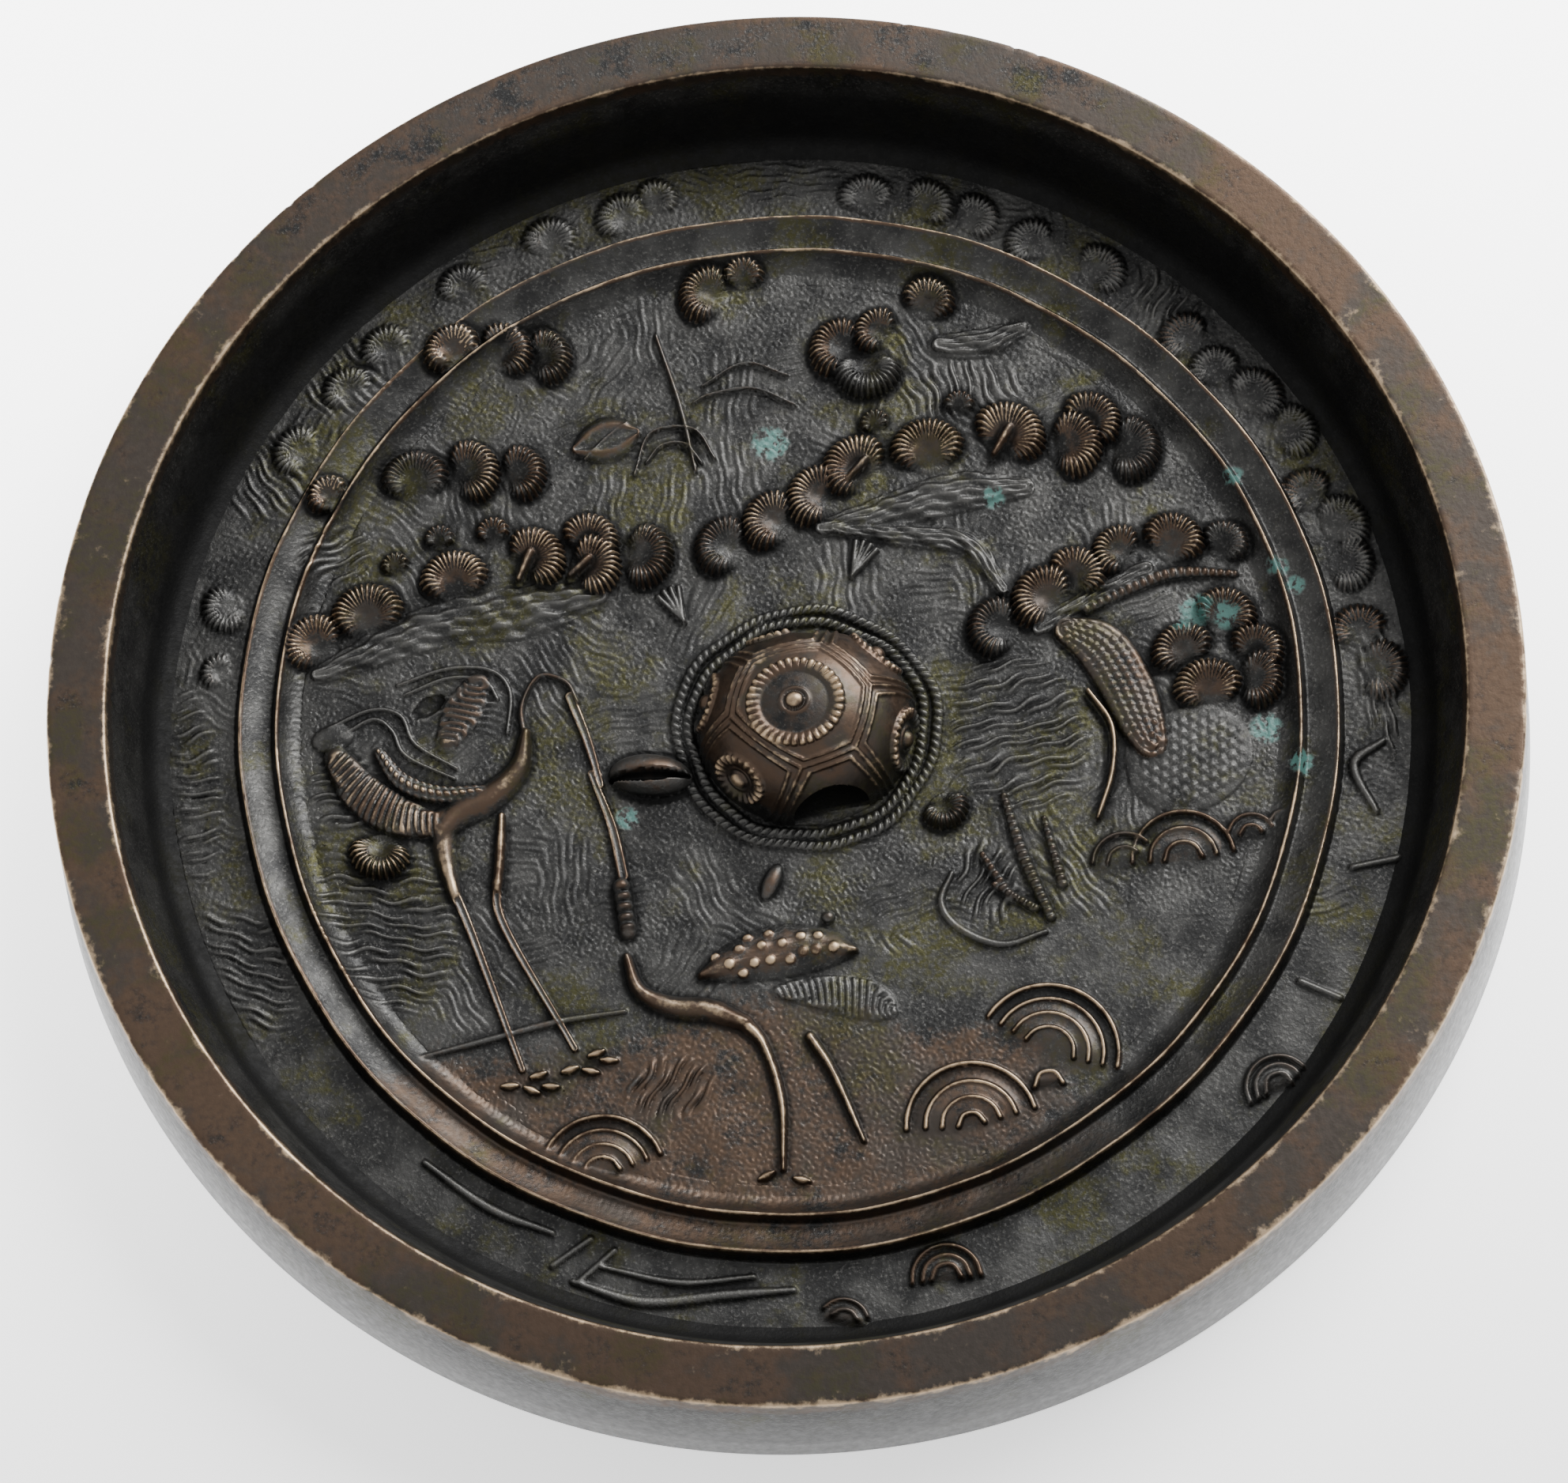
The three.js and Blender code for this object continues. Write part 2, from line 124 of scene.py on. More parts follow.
# Clumps of the outer band: angle around the disc, distance from its middle, radius, apex, how far rubbed
BAND_PINES = (
    (75, 79.5, 4.2, 90, 0.1), (69, 80.2, 4.2, 30, 0.1), (64, 80, 4.0, 20, 0.1),
    (57, 79.4, 4.2, 130, 0.1), (50, 80, 4.4, 20, 0.15), (38, 79.6, 4.2, 130, 0.25),
    (33.5, 79.0, 4.0, 100, 0.15), (29, 80.5, 4.6, 40, 0.15), (24, 81.6, 4.4, 0, 0.1),
    (17, 79.4, 4.2, 120, 0.3), (13, 81.4, 4.6, 30, 0.15), (9, 80.2, 4.4, 340, 0.15),
    (1.5, 79.8, 4.2, 100, 0.4), (357.5, 81, 4.8, 350, 0.35), (167, 79.4, 2.8, 150, 0.1),
    (160, 80, 4.0, 200, 0.1), (142, 80, 4.2, 150, 0.1), (134, 79.8, 4.0, 120, 0.1),
    (128, 80.2, 4.0, 120, 0.1), (118, 80.4, 4.0, 100, 0.1), (108, 80.4, 4.2, 90, 0.1),
    (100, 80, 4.2, 130, 0.1), (96.5, 81.6, 3.4, 50, 0.1),
)

# Lines are drawn through points of x, y and half width
BRANCH_HEIGHT = 0.9
ROPE_HEIGHT = 1.1
STEM_HEIGHT = 0.9
STEM_LIFT = 1.5
BRANCHES = (
    ((-64, 15.5, 1.2), (-52, 19.4, 3.0), (-43, 21, 3.4), (-34, 21, 3.8), (-24, 22.2, 2.0)),
    ((8, 27.6, 1.2), (18, 29, 2.6), (28, 30.5, 3.0), (37, 30, 1.4)),
    ((10, 27.4, 1), (20, 25, 1.7), (28, 22.5, 1.7), (32, 15, 1.1)),
    ((28, 53, 1.6), (34, 52.6, 2.2), (40, 54, 1.2)),
    ((36, 8.6, 1.4), (44, 12.4, 1.4), (52, 15.4, 1.6)),
)
ROPES = (
    ((43, 10.5, 0.7), (50, 13, 0.9), (56, 14.3, 0.9), (64, 13, 0.6)),
    ((28, -15, 0.6), (29.5, -24, 0.9), (32, -33, 0.7)),
    ((24, -23, 0.5), (27, -29.5, 0.8)),
    ((33, -19, 0.5), (34.2, -28.5, 0.8)),
    ((25, -27.5, 0.5), (30, -31.5, 0.7)),
)
STEMS = (
    ((-34.6, 25.4, 0.5), (-32.6, 29.2, 0.8)), ((-27.4, 25, 0.5), (-24.6, 27.2, 0.7)),
    ((33.4, 35, 0.5), (36, 38.6, 0.8)), ((12.6, 34, 0.5), (15.4, 36.6, 0.7)),
)
PLANT_HEIGHT = 1.0
PLANTS = (
    ((-11.5, 60, 0.3), (-9.3, 48.5, 0.5), (-8.3, 38.5, 0.3)),
    ((-23.5, 42.5, 0.3), (-20, 45.4, 0.4), (-17, 47.2, 0.3)),
    ((-7.4, 48.9, 0.25), (-4.9, 49.9, 0.3), (1.2, 50.0, 0.3), (6.8, 46.6, 0.25)),
    ((-5.9, 51.3, 0.25), (0.4, 54.0, 0.3), (6.2, 51.3, 0.25)),
    ((-15, 40.8, 0.25), (-12.6, 43.1, 0.3), (-9.3, 42.9, 0.3), (-7.3, 39.7, 0.25)),
    ((-16.9, 39.1, 0.25), (-13.9, 45.2, 0.3), (-7.9, 45, 0.3), (-5.4, 40.1, 0.25)),
)
LEAF = ((-24.5, 44.2, 0.8), (-20, 45.2, 3.4), (-16, 45.6, 0.8))
LEAF_HEIGHT = 1.1
SHORE_HEIGHT = 0.7
SHORES = (
    ((-56, -41.5, 0.4), (-45, -40, 0.6), (-36, -38.8, 0.6), (-27, -38.6, 0.4)),
    ((19.5, -25, 0.4), (17.5, -29, 0.6), (19.5, -33, 0.7), (25, -36, 0.6), (31, -35, 0.4)),
)

# The two cranes
CRANE_HEIGHT = 1.6
LEG_HEIGHT = 0.9
THIGH_HEIGHT = LEG_HEIGHT + 0.4
WING_HEIGHT = 1.5
PATCH_HEIGHT = 0.8
LINE_HEIGHT = 0.6
CREST_HEIGHT = 1.9
CRANE_BODIES = (
    ((-36, 3, 0.9), (-37.6, -2, 1.7), (-42, -5.6, 2.2), (-46.6, -7.4, 2.2), (-49.2, -10, 1.5)),
    ((-11, -42.4, 1.2), (-15.4, -40, 1.8), (-20.4, -38.8, 1.7), (-24.6, -36, 1.2), (-25.8, -31, 0.7)),
)
CRANE_THIGHS = (
    ((-48.6, -8, 2.0), (-49, -13, 1.6), (-48.2, -19, 1.0)),
    ((-40.6, -8.5, 0.6), (-41.4, -14, 0.9), (-42.3, -19, 0.8)),
    ((-11, -42.4, 1.2), (-8.8, -46, 0.8), (-7.4, -54, 0.7), (-8.3, -63.5, 0.4)),
    ((-2.5, -45.5, 0.8), (0, -51, 0.7), (2.9, -61, 0.4)),
)
CRANE_NECK = ((-36.2, 2, 0.6), (-36.2, 7, 0.45), (-33.4, 11.1, 0.4), (-29.8, 9.8, 0.45), (-28.4, 6.5, 0.4))
WING_BAND = ((-62.4, 3, 1.8), (-59.5, -2.5, 2.9), (-55, -6.5, 2.9), (-49.5, -8.8, 1.8))
WING_PATCH = ((-47, 3.4, 1.6), (-44.4, 7.4, 2.8), (-42, 11, 1.8))
WING_HOLLOW = ((-50.6, 8.2, 0.8), (-49, 9, 1.4), (-47.4, 9.8, 0.8))
HOLLOW_DEPTH = 0.8
CREST_BEADS = ((-25.4, -21, 1.3), (-25.2, -27.5, 1.2))
BEADED_BAND = ((-56.5, 3, 0.8), (-53.8, -1.6, 1.3), (-49, -4.2, 1.3), (-43, -4.6, 0.9))
WING_LINES = (
    ((-63, 7.5, 0.3), (-57, 9.4, 0.35), (-53, 8, 0.35), (-51.4, 3.6, 0.35), (-46, -0.8, 0.3)),
    ((-62, 5.8, 0.3), (-57, 8, 0.35), (-54.4, 6, 0.35), (-52.8, 2, 0.35), (-46.5, -2.2, 0.3)),
    ((-53, 12.5, 0.3), (-46, 14, 0.35), (-40, 13, 0.35), (-37.6, 9.4, 0.35), (-38.6, 3.4, 0.3)),
    ((-52, 11, 0.3), (-46, 12.6, 0.35), (-41, 11.6, 0.35), (-39.4, 8.6, 0.3)),
)
# Bills and shanks, each a pair of thin lines
CRANE_LIMBS = (
    ((-29.4, 7.5, 0.9), (-27.8, 1, 0.8), (-26.6, -6, 0.5)),
    ((-25, -19.5, 0.9), (-25.8, -12, 0.8), (-27.8, -4, 0.5)),
    ((-48.4, -18, 0.9), (-46.4, -25, 0.75), (-41.6, -45, 0.5)),
    ((-42.3, -18, 0.8), (-41.9, -24.5, 0.7), (-34.2, -43, 0.5)),
)
DOTTED_WING = ((-16, -35, 0.7), (-10.5, -33.5, 3.0), (-4.8, -32.9, 3.8), (1, -33.2, 2.8), (5, -34.2, 0.6))
WING_BEADS = (
    (-13.8, -32.9), (-12, -34.1), (-10.5, -32.3), (-9.2, -30.8), (-8.7, -34.3), (-7.4, -32.2), (-6.5, -34.2),
    (-6.3, -30.6), (-4.6, -32.2), (-3.8, -34.4), (-2, -31.6), (-1.9, -33.6), (-0.2, -33.6), (2.2, -33.6),
    (-10.4, -35.4), (0.3, -31.8),
)
BEAD_RADIUS = 0.8
TAIL_HATCH = ((-6, -38.4, 0.9), (0, -39.5, 2.4), (6, -41.5, 2.8), (9, -43.5, 0.8))
TOE_HALF_WIDTH = 0.7
TOE_LENGTH = 2.2
TOE_HEIGHT = 1.0
# Toes: x, y and direction in degrees
TOES = (
    (-43.5, -47, 175), (-39.5, -46, 10), (-40.6, -48, 330), (-38, -47.8, 350), (-35.2, -45.8, 190),
    (-31.4, -44, 12), (-29.8, -45.2, 350), (-32.4, -46.4, 340), (-10.6, -64, 200), (-6, -65.2, 340),
)

# The scaly body at the right, its smooth edge, and a mound of x, y, half length, half width and turn
SCALY_HEIGHT = 1.2
MOUND_HEIGHT = 0.6
BODY_SCALE = 1.15
MOUND_SCALE = 1.5
SCALY_BODY = ((40, 7.8, 2.0), (44, 5.0, 3.6), (46.6, -0.5, 3.8), (48, -6, 3.4), (49, -10, 2.4))
SCALY_EDGE = ((41.5, -1.5, 0.4), (44, -7, 0.5), (43.2, -13.5, 0.5), (40.3, -20, 0.4))
SCALY_MOUND = (54, -13, 9, 7.4, 20)

# Rocks and waves: nested arcs of centre x, y, radii, first and last angle in degrees, and how far rubbed
ARC_HALF_WIDTH = 0.45
ARC_HEIGHT = 1.0
ROCKS = (
    (-32.5, -61.2, (2.6, 4.4, 6.4, 8.4), 15, 165, 0.75), (29, -52, (3.5, 5.5, 7.5, 9.5), -20, 140, 0.75),
    (17.5, -60.8, (1.8, 4.0, 6.2, 8.8), 10, 175, 0.85), (28.5, -56.5, (1.9,), 0, 180, 0.85),
    (43, -27, (2.4, 4.4), 40, 170, 0.5), (60.6, -25.4, (1.6, 3.2), 20, 160, 0.5),
    (65, -24, (1.6,), 20, 160, 0.4), (51, -27.5, (2.6, 4.6, 7.0), 5, 175, 0.65),
    (11.4, -81.2, (2, 3.2, 4.6), 0, 180, 0.6), (-3, -85.6, (2, 3.4), 10, 130, 0.5),
    (59, -61, (2, 3.2, 4.4), 0, 200, 0.3),
)
WAVE_HEIGHT = 0.6
WAVES = (
    ((-9, -80, 0.5), (-18, -79.5, 0.9), (-29, -79, 0.9), (-38, -75, 0.5)),
    ((-14, -77.5, 0.4), (-24, -77, 0.6), (-34, -73.5, 0.4)),
    ((-40, -68, 0.5), (-48, -63.5, 0.8), (-56, -56, 0.5)),
    ((-32, -71.5, 0.5), (-37, -75, 0.5)), ((-35, -69.5, 0.5), (-40.5, -72.5, 0.5)),
    ((73.5, -31.5, 0.5), (83, -30.8, 0.6)), ((64, -46.5, 0.5), (69, -49.6, 0.5)),
    ((80.5, -14, 0.5), (76, -17, 0.8), (78, -24, 0.5)),
)

# Water and ground hatching: centre x, y, half length, half width, turn, direction of the lines
WATER_PITCH = 1.15
WATER_DEPTH = 0.6
HATCH_COUNT = 190
HATCH_REACH = (5, 9)
HATCH_DEPTH = 0.2
HATCH_END = -36
WATERS = (
    (-58, -22, 11, 15, 15, -12), (-62, -2, 5, 8, 0, 0), (31, -6, 11, 14, 10, 10), (24, -27, 5, 7, 0, 60),
    (-83, 2, 5, 18, 0, 5), (-78, -26, 8, 12, 20, -20), (-58, 62, 8, 10, 45, 130), (-70, 48, 8, 10, 40, 120),
    (82, -6, 4, 12, 0, 90), (62, 56, 6, 8, 40, 60), (-60, 33, 6, 5, 0, 30), (30, 46, 10, 5, 0, 100),
    (-44, 8, 5, 4, 20, 0), (-22, -50, 7, 5, 0, 60),
)

# The tortoise that is the knob for the cord
KNOB = (2.5, -1.5)
KNOB_HALF = (15, 14, 12.5)
KNOB_SIDES = 360
KNOB_ROWS = 96
# Plates of the shell: direction and tilt of the middle in degrees, radius of the flower on it
PLATES = (
    (180, 5, 6.2), (40, 75, 4), (100, 75, 4), (160, 75, 4), (220, 64, 3.6), (280, 76, 0), (340, 75, 4.2),
)
PLATE_LINES = (0, 1.0)
PETAL_PITCH = 1.08
HOLE_WIDTH = 10.5
HOLE_HEIGHT = 7.2
HOLE_FLOOR = 0.2
HOLE_X = 4.4
HOLE_LENGTH = 36
HOLE_STEPS = 48
BORDERS = (16.2, 18.0)
BORDER_SQUASH = 0.96
BORDER_PITCH = 1.15
# Tail, dark oval, seed and head: x, y, half length, half width, height, turn, how far rubbed
MOUNDS = (
    (-5, -23, 2.8, 1.2, 1.3, 60, 0.5), (-62.6, 6, 3.1, 2, 0.8, 10, 0), (2, -29, 0.9, 0.9, 0.9, 0, 0.4),
    (-19.6, -5.6, 5.8, 3.1, 4.0, -12, 0.5),
)
# Paws: x, y and the direction of the claws
PAW = 3.4
CLAWS = (-28, -10, 8, 26)
PAWS = ((-13.2, 18.2, 110), (12.4, 21.6, 60))
TORTOISE_MOUTH = ((-25, -5.4, 0.4), (-20, -6.2, 0.9), (-14.5, -6.6, 0.4))
MOUTH_DEPTH = 2.2
CLAW_HEIGHT = 0.9
TORTOISE_FOOT = (19.6, -15.2, 3.6, 290, 0.35)

# Green corrosion: x, y, radius
VERDIGRIS = (
    (2.5, 41.5, 2.6), (32.5, 29, 1.6), (58, 8.5, 2.4), (62, 7, 2), (55.5, 6, 1.4), (-23.5, -11, 1.6),
    (65, -10, 2.2), (70, 13, 1.6), (66, 27, 1.6), (69, -16, 1.8), (72, 10, 1.4),
)

# The camera, fitted to the circles of the rim
LENS_PX = 7000
IMAGE_WIDTH_PX = 1984
SENSOR = 36
ELEVATION = 70.03
ROLL = -7.37
DISTANCE = 743.9
AIM = (-0.88, -8.86, HEIGHT)

# The studio: a white surround, one large lamp behind at the right, and a floor that glows more at the back
SURROUND = 1.3
KEY_PLACE = (0.72, 0.72, 0.72)
KEY_SIZE = 0.9
KEY_POWER = 42
FLOOR_GLOW = (0.45, 4.5)

rng = np.random.default_rng(SEED)


def smooth(value, low, high):
    """0 below low, 1 above high, and a soft step between."""
    t = np.clip((value - low) / (high - low), 0, 1)
    return t * t * (3 - 2 * t)


class Field:
    """A patch of the back: the places of its grid points and the height of the metal there."""

    def __init__(self, x, y, base):
        self.shape = x.shape
        self.x = x.ravel()
        self.y = y.ravel()
        self.base = base.ravel()
        self.z = self.base.copy()
        self.rub = np.zeros_like(self.z)

    def inside(self, low_x, low_y, high_x, high_y):
        in_x = (self.x > low_x) & (self.x < high_x)
        return np.nonzero(in_x & (self.y > low_y) & (self.y < high_y))[0]

    def near(self, x, y, reach):
        return self.inside(x - reach, y - reach, x + reach, y + reach)

    def raise_to(self, at, height, rub=0.0):
        """A figure stands out of the metal with a soft foot, rubbed bare so far."""
        old = self.z[at]
        self.z[at] = 0.5 * (old + height + np.sqrt((old - height) ** 2 + SOFT_FOOT ** 2))
        self.rub[at] = np.where(height > old, rub, self.rub[at])

    def stand(self, at, out, section, rub=0.0):
        """A figure rises by its section inside its outline, where out is below 1."""
        self.raise_to(at, FIELD_Z + np.where(np.abs(out) < 1, section, -1), rub)

    def grid(self):
        return self.z.reshape(self.shape)


def ripple(x, y, waves, shortest, longest):
    """A seeded sum of plane waves, about -1 to 1: an even, grainy unevenness."""
    total = np.zeros_like(x)
    for _ in range(waves):
        length = math.exp(rng.uniform(math.log(shortest), math.log(longest)))
        turn = rng.uniform(0, 2 * math.pi)
        shift = rng.uniform(0, 2 * math.pi)
        total += np.cos(2 * math.pi / length * (x * math.cos(turn) + y * math.sin(turn)) + shift)
    return total / math.sqrt(waves)


def turned_frame(field, at, x, y, turn):
    """Places of grid points in a frame at x, y turned by degrees."""
    c = math.cos(math.radians(turn))
    s = math.sin(math.radians(turn))
    dx = field.x[at] - x
    dy = field.y[at] - y
    return dx * c + dy * s, dy * c - dx * s


def pine_fan(field, x, y, radius, apex, rub, lift=0.0, tall=1.0):
    """A clump of needles: a scallop with ribs over its shoulder and down its side, open at the stalk."""
    at = field.near(x, y, 1.15 * radius)
    u, v = turned_frame(field, at, x, y, apex)
    angle = np.arctan2(v, u)
    far = np.hypot(u, v)
    spread = smooth(u / np.maximum(far, 0.4 * radius), -0.8, 0.35)
    ribs = round(2 * math.pi * radius / RIB_PITCH)
    comb = (0.5 + 0.5 * np.cos(ribs * angle)) ** 0.7
    out = far / (radius * (0.5 + 0.5 * spread) * (0.95 + 0.06 * comb))
    dome = FAN_HOLLOW + (1 - FAN_HOLLOW) * smooth(out, 0.05, FAN_CREST)
    past = np.clip((out - FAN_CREST) / (1 - FAN_CREST), 0, 1)
    rise = FAN_HEIGHT * tall * (radius / 5) ** 0.5 * (0.05 + 0.95 * spread) * dome * (1 - past ** 2)
    fringe = smooth(out, 0.25, 0.5)
    needles = RIB_DEPTH * fringe * (0.2 + 0.8 * spread) * (comb - 0.6)
    # The rib tips near the edge are rubbed most, where the shader also paints a highlight.
    bare = FAN_RUB * rub * (0.3 + 0.7 * spread) * (0.8 + fringe * (1.5 * comb ** 2 - 0.55))
    field.stand(at, out, lift + rise + needles, bare)


def smooth_line(points, per_span=8):
    """A Catmull-Rom line through points of x, y and half width."""
    p = np.array(points, float)
    p = np.vstack([2 * p[0] - p[1], p, 2 * p[-1] - p[-2]])
    t = np.linspace(0, 1, per_span, endpoint=False)[:, None]
    spans = []
    for a, b, c, d in zip(p[:-3], p[1:-2], p[2:-1], p[3:]):
        spans.append(0.5 * (2 * b + (c - a) * t + (2 * a - 5 * b + 4 * c - d) * t ** 2
                            + (3 * b - a - 3 * c + d) * t ** 3))
    return np.vstack(spans + [p[-2:-1]])


def line_frame(field, points):
    """Grid points near a line, their signed place across it in half widths, and along it in mm."""
    line = smooth_line(points)
    reach = 1.3 * line[:, 2].max()
    low = line[:, :2].min(0) - reach
    high = line[:, :2].max(0) + reach
    at = field.inside(low[0], low[1], high[0], high[1])
    across = np.full(at.size, 9.0)
    along = np.zeros(at.size)
    run = 0.0
    for start, end in zip(line[:-1], line[1:]):
        way = end - start
        length = math.hypot(way[0], way[1])
        dx = field.x[at] - start[0]
        dy = field.y[at] - start[1]
        t = np.clip((dx * way[0] + dy * way[1]) / length ** 2, 0, 1)
        gap = np.hypot(dx - t * way[0], dy - t * way[1]) / (start[2] + t * way[2])
        closer = gap < np.abs(across)
        side = np.where(dx * way[1] - dy * way[0] < 0, 1, -1)
        across[closer] = (gap * side)[closer]
        along[closer] = (run + t * length)[closer]
        run += length
    keep = np.abs(across) < 1.2
    return at[keep], across[keep], along[keep]


def round_section(across):
    return np.sqrt(np.clip(1 - across ** 2, 0, 1))


def ridge(field, points, height, rub, lift=0.0):
    at, across, _ = line_frame(field, points)
    field.stand(at, across, lift + height * (1 - across ** 2), rub * round_section(across))


def twin_ridge(field, points, height, rub):
    """Two thin lines side by side with a shallow trough between them."""
    at, across, _ = line_frame(field, points)
    section = 0.55 * round_section(across) + 0.45 * np.exp(-((np.abs(across) - 0.6) / 0.28) ** 2)
    lines = np.exp(-((np.abs(across) - 0.6) / 0.3) ** 2)
    field.stand(at, across, height * section, rub * lines)


def rope(field, points, height, rub, pitch=1.1):
    """A ridge cut into beads along its length."""
    at, across, along = line_frame(field, points)
    beads = 0.5 + 0.5 * np.abs(np.cos(math.pi * along / pitch))
    section = beads * round_section(across)
    field.stand(at, across, height * section, rub * section)


def bark(field, points, height):
    """A low branch with wavy bark lines and knots along it."""
    at, across, along = line_frame(field, points)
    lines = 0.16 * np.cos(13 * across + 1.3 * np.sin(along / 2.9) + 0.8 * np.sin(along / 0.9))
    knots = 0.22 * np.sin(along / 0.7 + 5 * across) * np.sin(along / 2.3 + 2 * across)
    section = height * (1 - across ** 2) + lines + knots
    field.stand(at, across, section)


def feather_band(field, points, height, rub, pitch=0.95, rows=1):
    """A band of barbs lying across it, in one or more rows."""
    at, across, along = line_frame(field, points)
    barbs = np.abs(np.cos(math.pi * (along + 0.6 * across) / pitch)) ** 0.7
    row = np.abs(np.cos(0.5 * math.pi * rows * (across + 1))) if rows > 1 else 1
    proud = barbs * row * round_section(across) ** 0.5
    section = height * round_section(across) ** 0.6 - 0.5 * (1 - barbs * row)
    field.stand(at, across, section, rub * proud)


def groove(field, points, depth):
    at, across, _ = line_frame(field, points)
    field.z[at] -= depth * round_section(across)


def arc_points(x, y, radius, first, last, half_width):
    angles = np.radians(np.linspace(first, last, max(4, round(radius * 2))))
    return [(x + radius * math.cos(a), y + radius * math.sin(a), half_width) for a in angles]


def rock(field, x, y, radii, first, last, rub):
    """Nested arcs on a low hump that fades away below, as rocks and breaking waves are drawn."""
    reach = radii[-1] + 1
    at = field.near(x, y, reach)
    u, v = turned_frame(field, at, x, y, 0.5 * (first + last))
    out = np.hypot(u, v) / reach
    hump = 0.8 * ARC_HEIGHT * smooth(1 - out, 0, 0.5) * smooth(u / reach, -0.35, 0.3)
    field.raise_to(at, FIELD_Z + 1.8 * hump - 0.7, 0.9 * rub)
    for i, radius in enumerate(radii):
        height = ARC_HEIGHT * (1.1 - 0.1 * i)
        ridge(field, arc_points(x, y, radius, first, last, ARC_HALF_WIDTH), height, 1.3 * rub, 0.1)


def mound(field, x, y, half_length, half_width, height, turn, rub):
    at = field.near(x, y, half_length)
    u, v = turned_frame(field, at, x, y, turn)
    out = (u / half_length) ** 2 + (v / half_width) ** 2
    section = np.sqrt(np.clip(1 - out, 0, 1))
    field.stand(at, out, height * section, rub * section)


def bead(field, x, y, radius, rub):
    """A low round bead on whatever is there."""
    at = field.near(x, y, radius)
    out = np.hypot(field.x[at] - x, field.y[at] - y) / radius
    base = field.z[at][out.argmin()] if at.size else FIELD_Z
    top = base - 0.1 + 0.55 * radius * np.sqrt(np.clip(1 - out ** 2, 0, 1))
    field.rub[at] = np.where((out < 1) & (top > field.z[at]), rub, field.rub[at])
    field.z[at] = np.where(out < 1, np.maximum(field.z[at], top), field.z[at])


def water(field, x, y, half_length, half_width, turn, lines, depth=WATER_DEPTH):
    """A patch of wavy parallel lines that fades out at its edge."""
    reach = max(half_length, half_width)
    at = field.near(x, y, reach)
    u, v = turned_frame(field, at, x, y, turn)
    weight = smooth(1 - np.hypot(u / half_length, v / half_width), 0, 0.35)
    s, t = turned_frame(field, at, x, y, lines)
    bend = 0.35 * np.sin(s / 1.9 + 0.3 * t) + 0.2 * np.sin(s / 0.83 + 1.1) + 0.3 * np.sin(t / 1.7 + s / 6)
    comb = np.abs(np.sin(math.pi * (t + bend) / WATER_PITCH))
    broken = smooth(np.sin(s / 1.8 + 2.4 * np.floor((t + bend) / WATER_PITCH)), -1.1, 0.5)
    flat = field.base[at] + (1 - 0.8 * weight) * (field.z[at] - field.base[at])
    field.z[at] = flat + depth * weight * broken * (comb - 0.4)


def hatching(field):
    """Short strokes all over the ground above the shore, each patch in its own direction."""
    patch = np.random.default_rng(SEED)
    for _ in range(HATCH_COUNT):
        reach = patch.uniform(*HATCH_REACH)
        distance = FIELD_RADIUS * math.sqrt(patch.uniform(0, 1))
        turn = patch.uniform(0, 2 * math.pi)
        lines = patch.uniform(0, 180)
        x = distance * math.cos(turn)
        y = distance * math.sin(turn)
        if abs(distance - INNER_RING) > reach and y > HATCH_END:
            water(field, x, y, reach, 0.7 * reach, lines, lines, HATCH_DEPTH)


def scales(field, at, u, v, weight, pitch):
    """Rows of small round scales set half a step apart."""
    row = np.floor(v / pitch)
    a = (u / pitch + 0.5 * (row % 2)) % 1 - 0.5
    b = (v / pitch) % 1 - 0.5
    field.z[at] += weight * 0.75 * (0.5 - np.clip(np.hypot(a, b), 0, 0.6))


def scaly_parts(field):
    at, across, along = line_frame(field, SCALY_BODY)
    keep = np.abs(across) < 1
    at, across, along = at[keep], across[keep], along[keep]
    field.raise_to(at, FIELD_Z + SCALY_HEIGHT * round_section(across) ** 0.5, 0.75)
    scales(field, at, along, across * 3.6, round_section(across), BODY_SCALE)
    x, y, half_length, half_width, turn = SCALY_MOUND
    mound(field, x, y, half_length, half_width, MOUND_HEIGHT, turn, 0.15)
    at = field.near(x, y, half_length)
    u, v = turned_frame(field, at, x, y, turn)
    weight = smooth(1 - np.hypot(u / half_length, v / half_width), 0, 0.3)
    scales(field, at, u, v, 0.8 * weight, MOUND_SCALE)
    ridge(field, SCALY_EDGE, SCALY_HEIGHT, 1.1, 0.5)


def cranes(field):
    feather_band(field, WING_BAND, CRANE_HEIGHT, 1.0)
    feather_band(field, BEADED_BAND, WING_HEIGHT, 1.1, 1.1, 2)
    feather_band(field, WING_PATCH, PATCH_HEIGHT, 0.8)
    groove(field, WING_HOLLOW, HOLLOW_DEPTH)
    for points in WING_LINES:
        ridge(field, points, LINE_HEIGHT, 0.2)
    for points in CRANE_BODIES:
        ridge(field, points, CRANE_HEIGHT, 0.8)
    ridge(field, CRANE_NECK, LEG_HEIGHT, 0.5)
    feather_band(field, TAIL_HATCH, LINE_HEIGHT, 0.15)
    for points in CRANE_THIGHS:
        ridge(field, points, THIGH_HEIGHT, 0.95)
    for points in CRANE_LIMBS:
        twin_ridge(field, points, LEG_HEIGHT, 0.95)
    rope(field, CREST_BEADS, CREST_HEIGHT, 0.5, 1.5)
    ridge(field, DOTTED_WING, WING_HEIGHT, 0.75)
    for x, y in WING_BEADS:
        bead(field, x, y, BEAD_RADIUS, 1.0)
    for x, y, turn in TOES:
        dx = 0.5 * TOE_LENGTH * math.cos(math.radians(turn))
        dy = 0.5 * TOE_LENGTH * math.sin(math.radians(turn))
        ridge(field, ((x - dx, y - dy, 0.3), (x, y, TOE_HALF_WIDTH), (x + dx, y + dy, 0.3)), TOE_HEIGHT, 1.1)


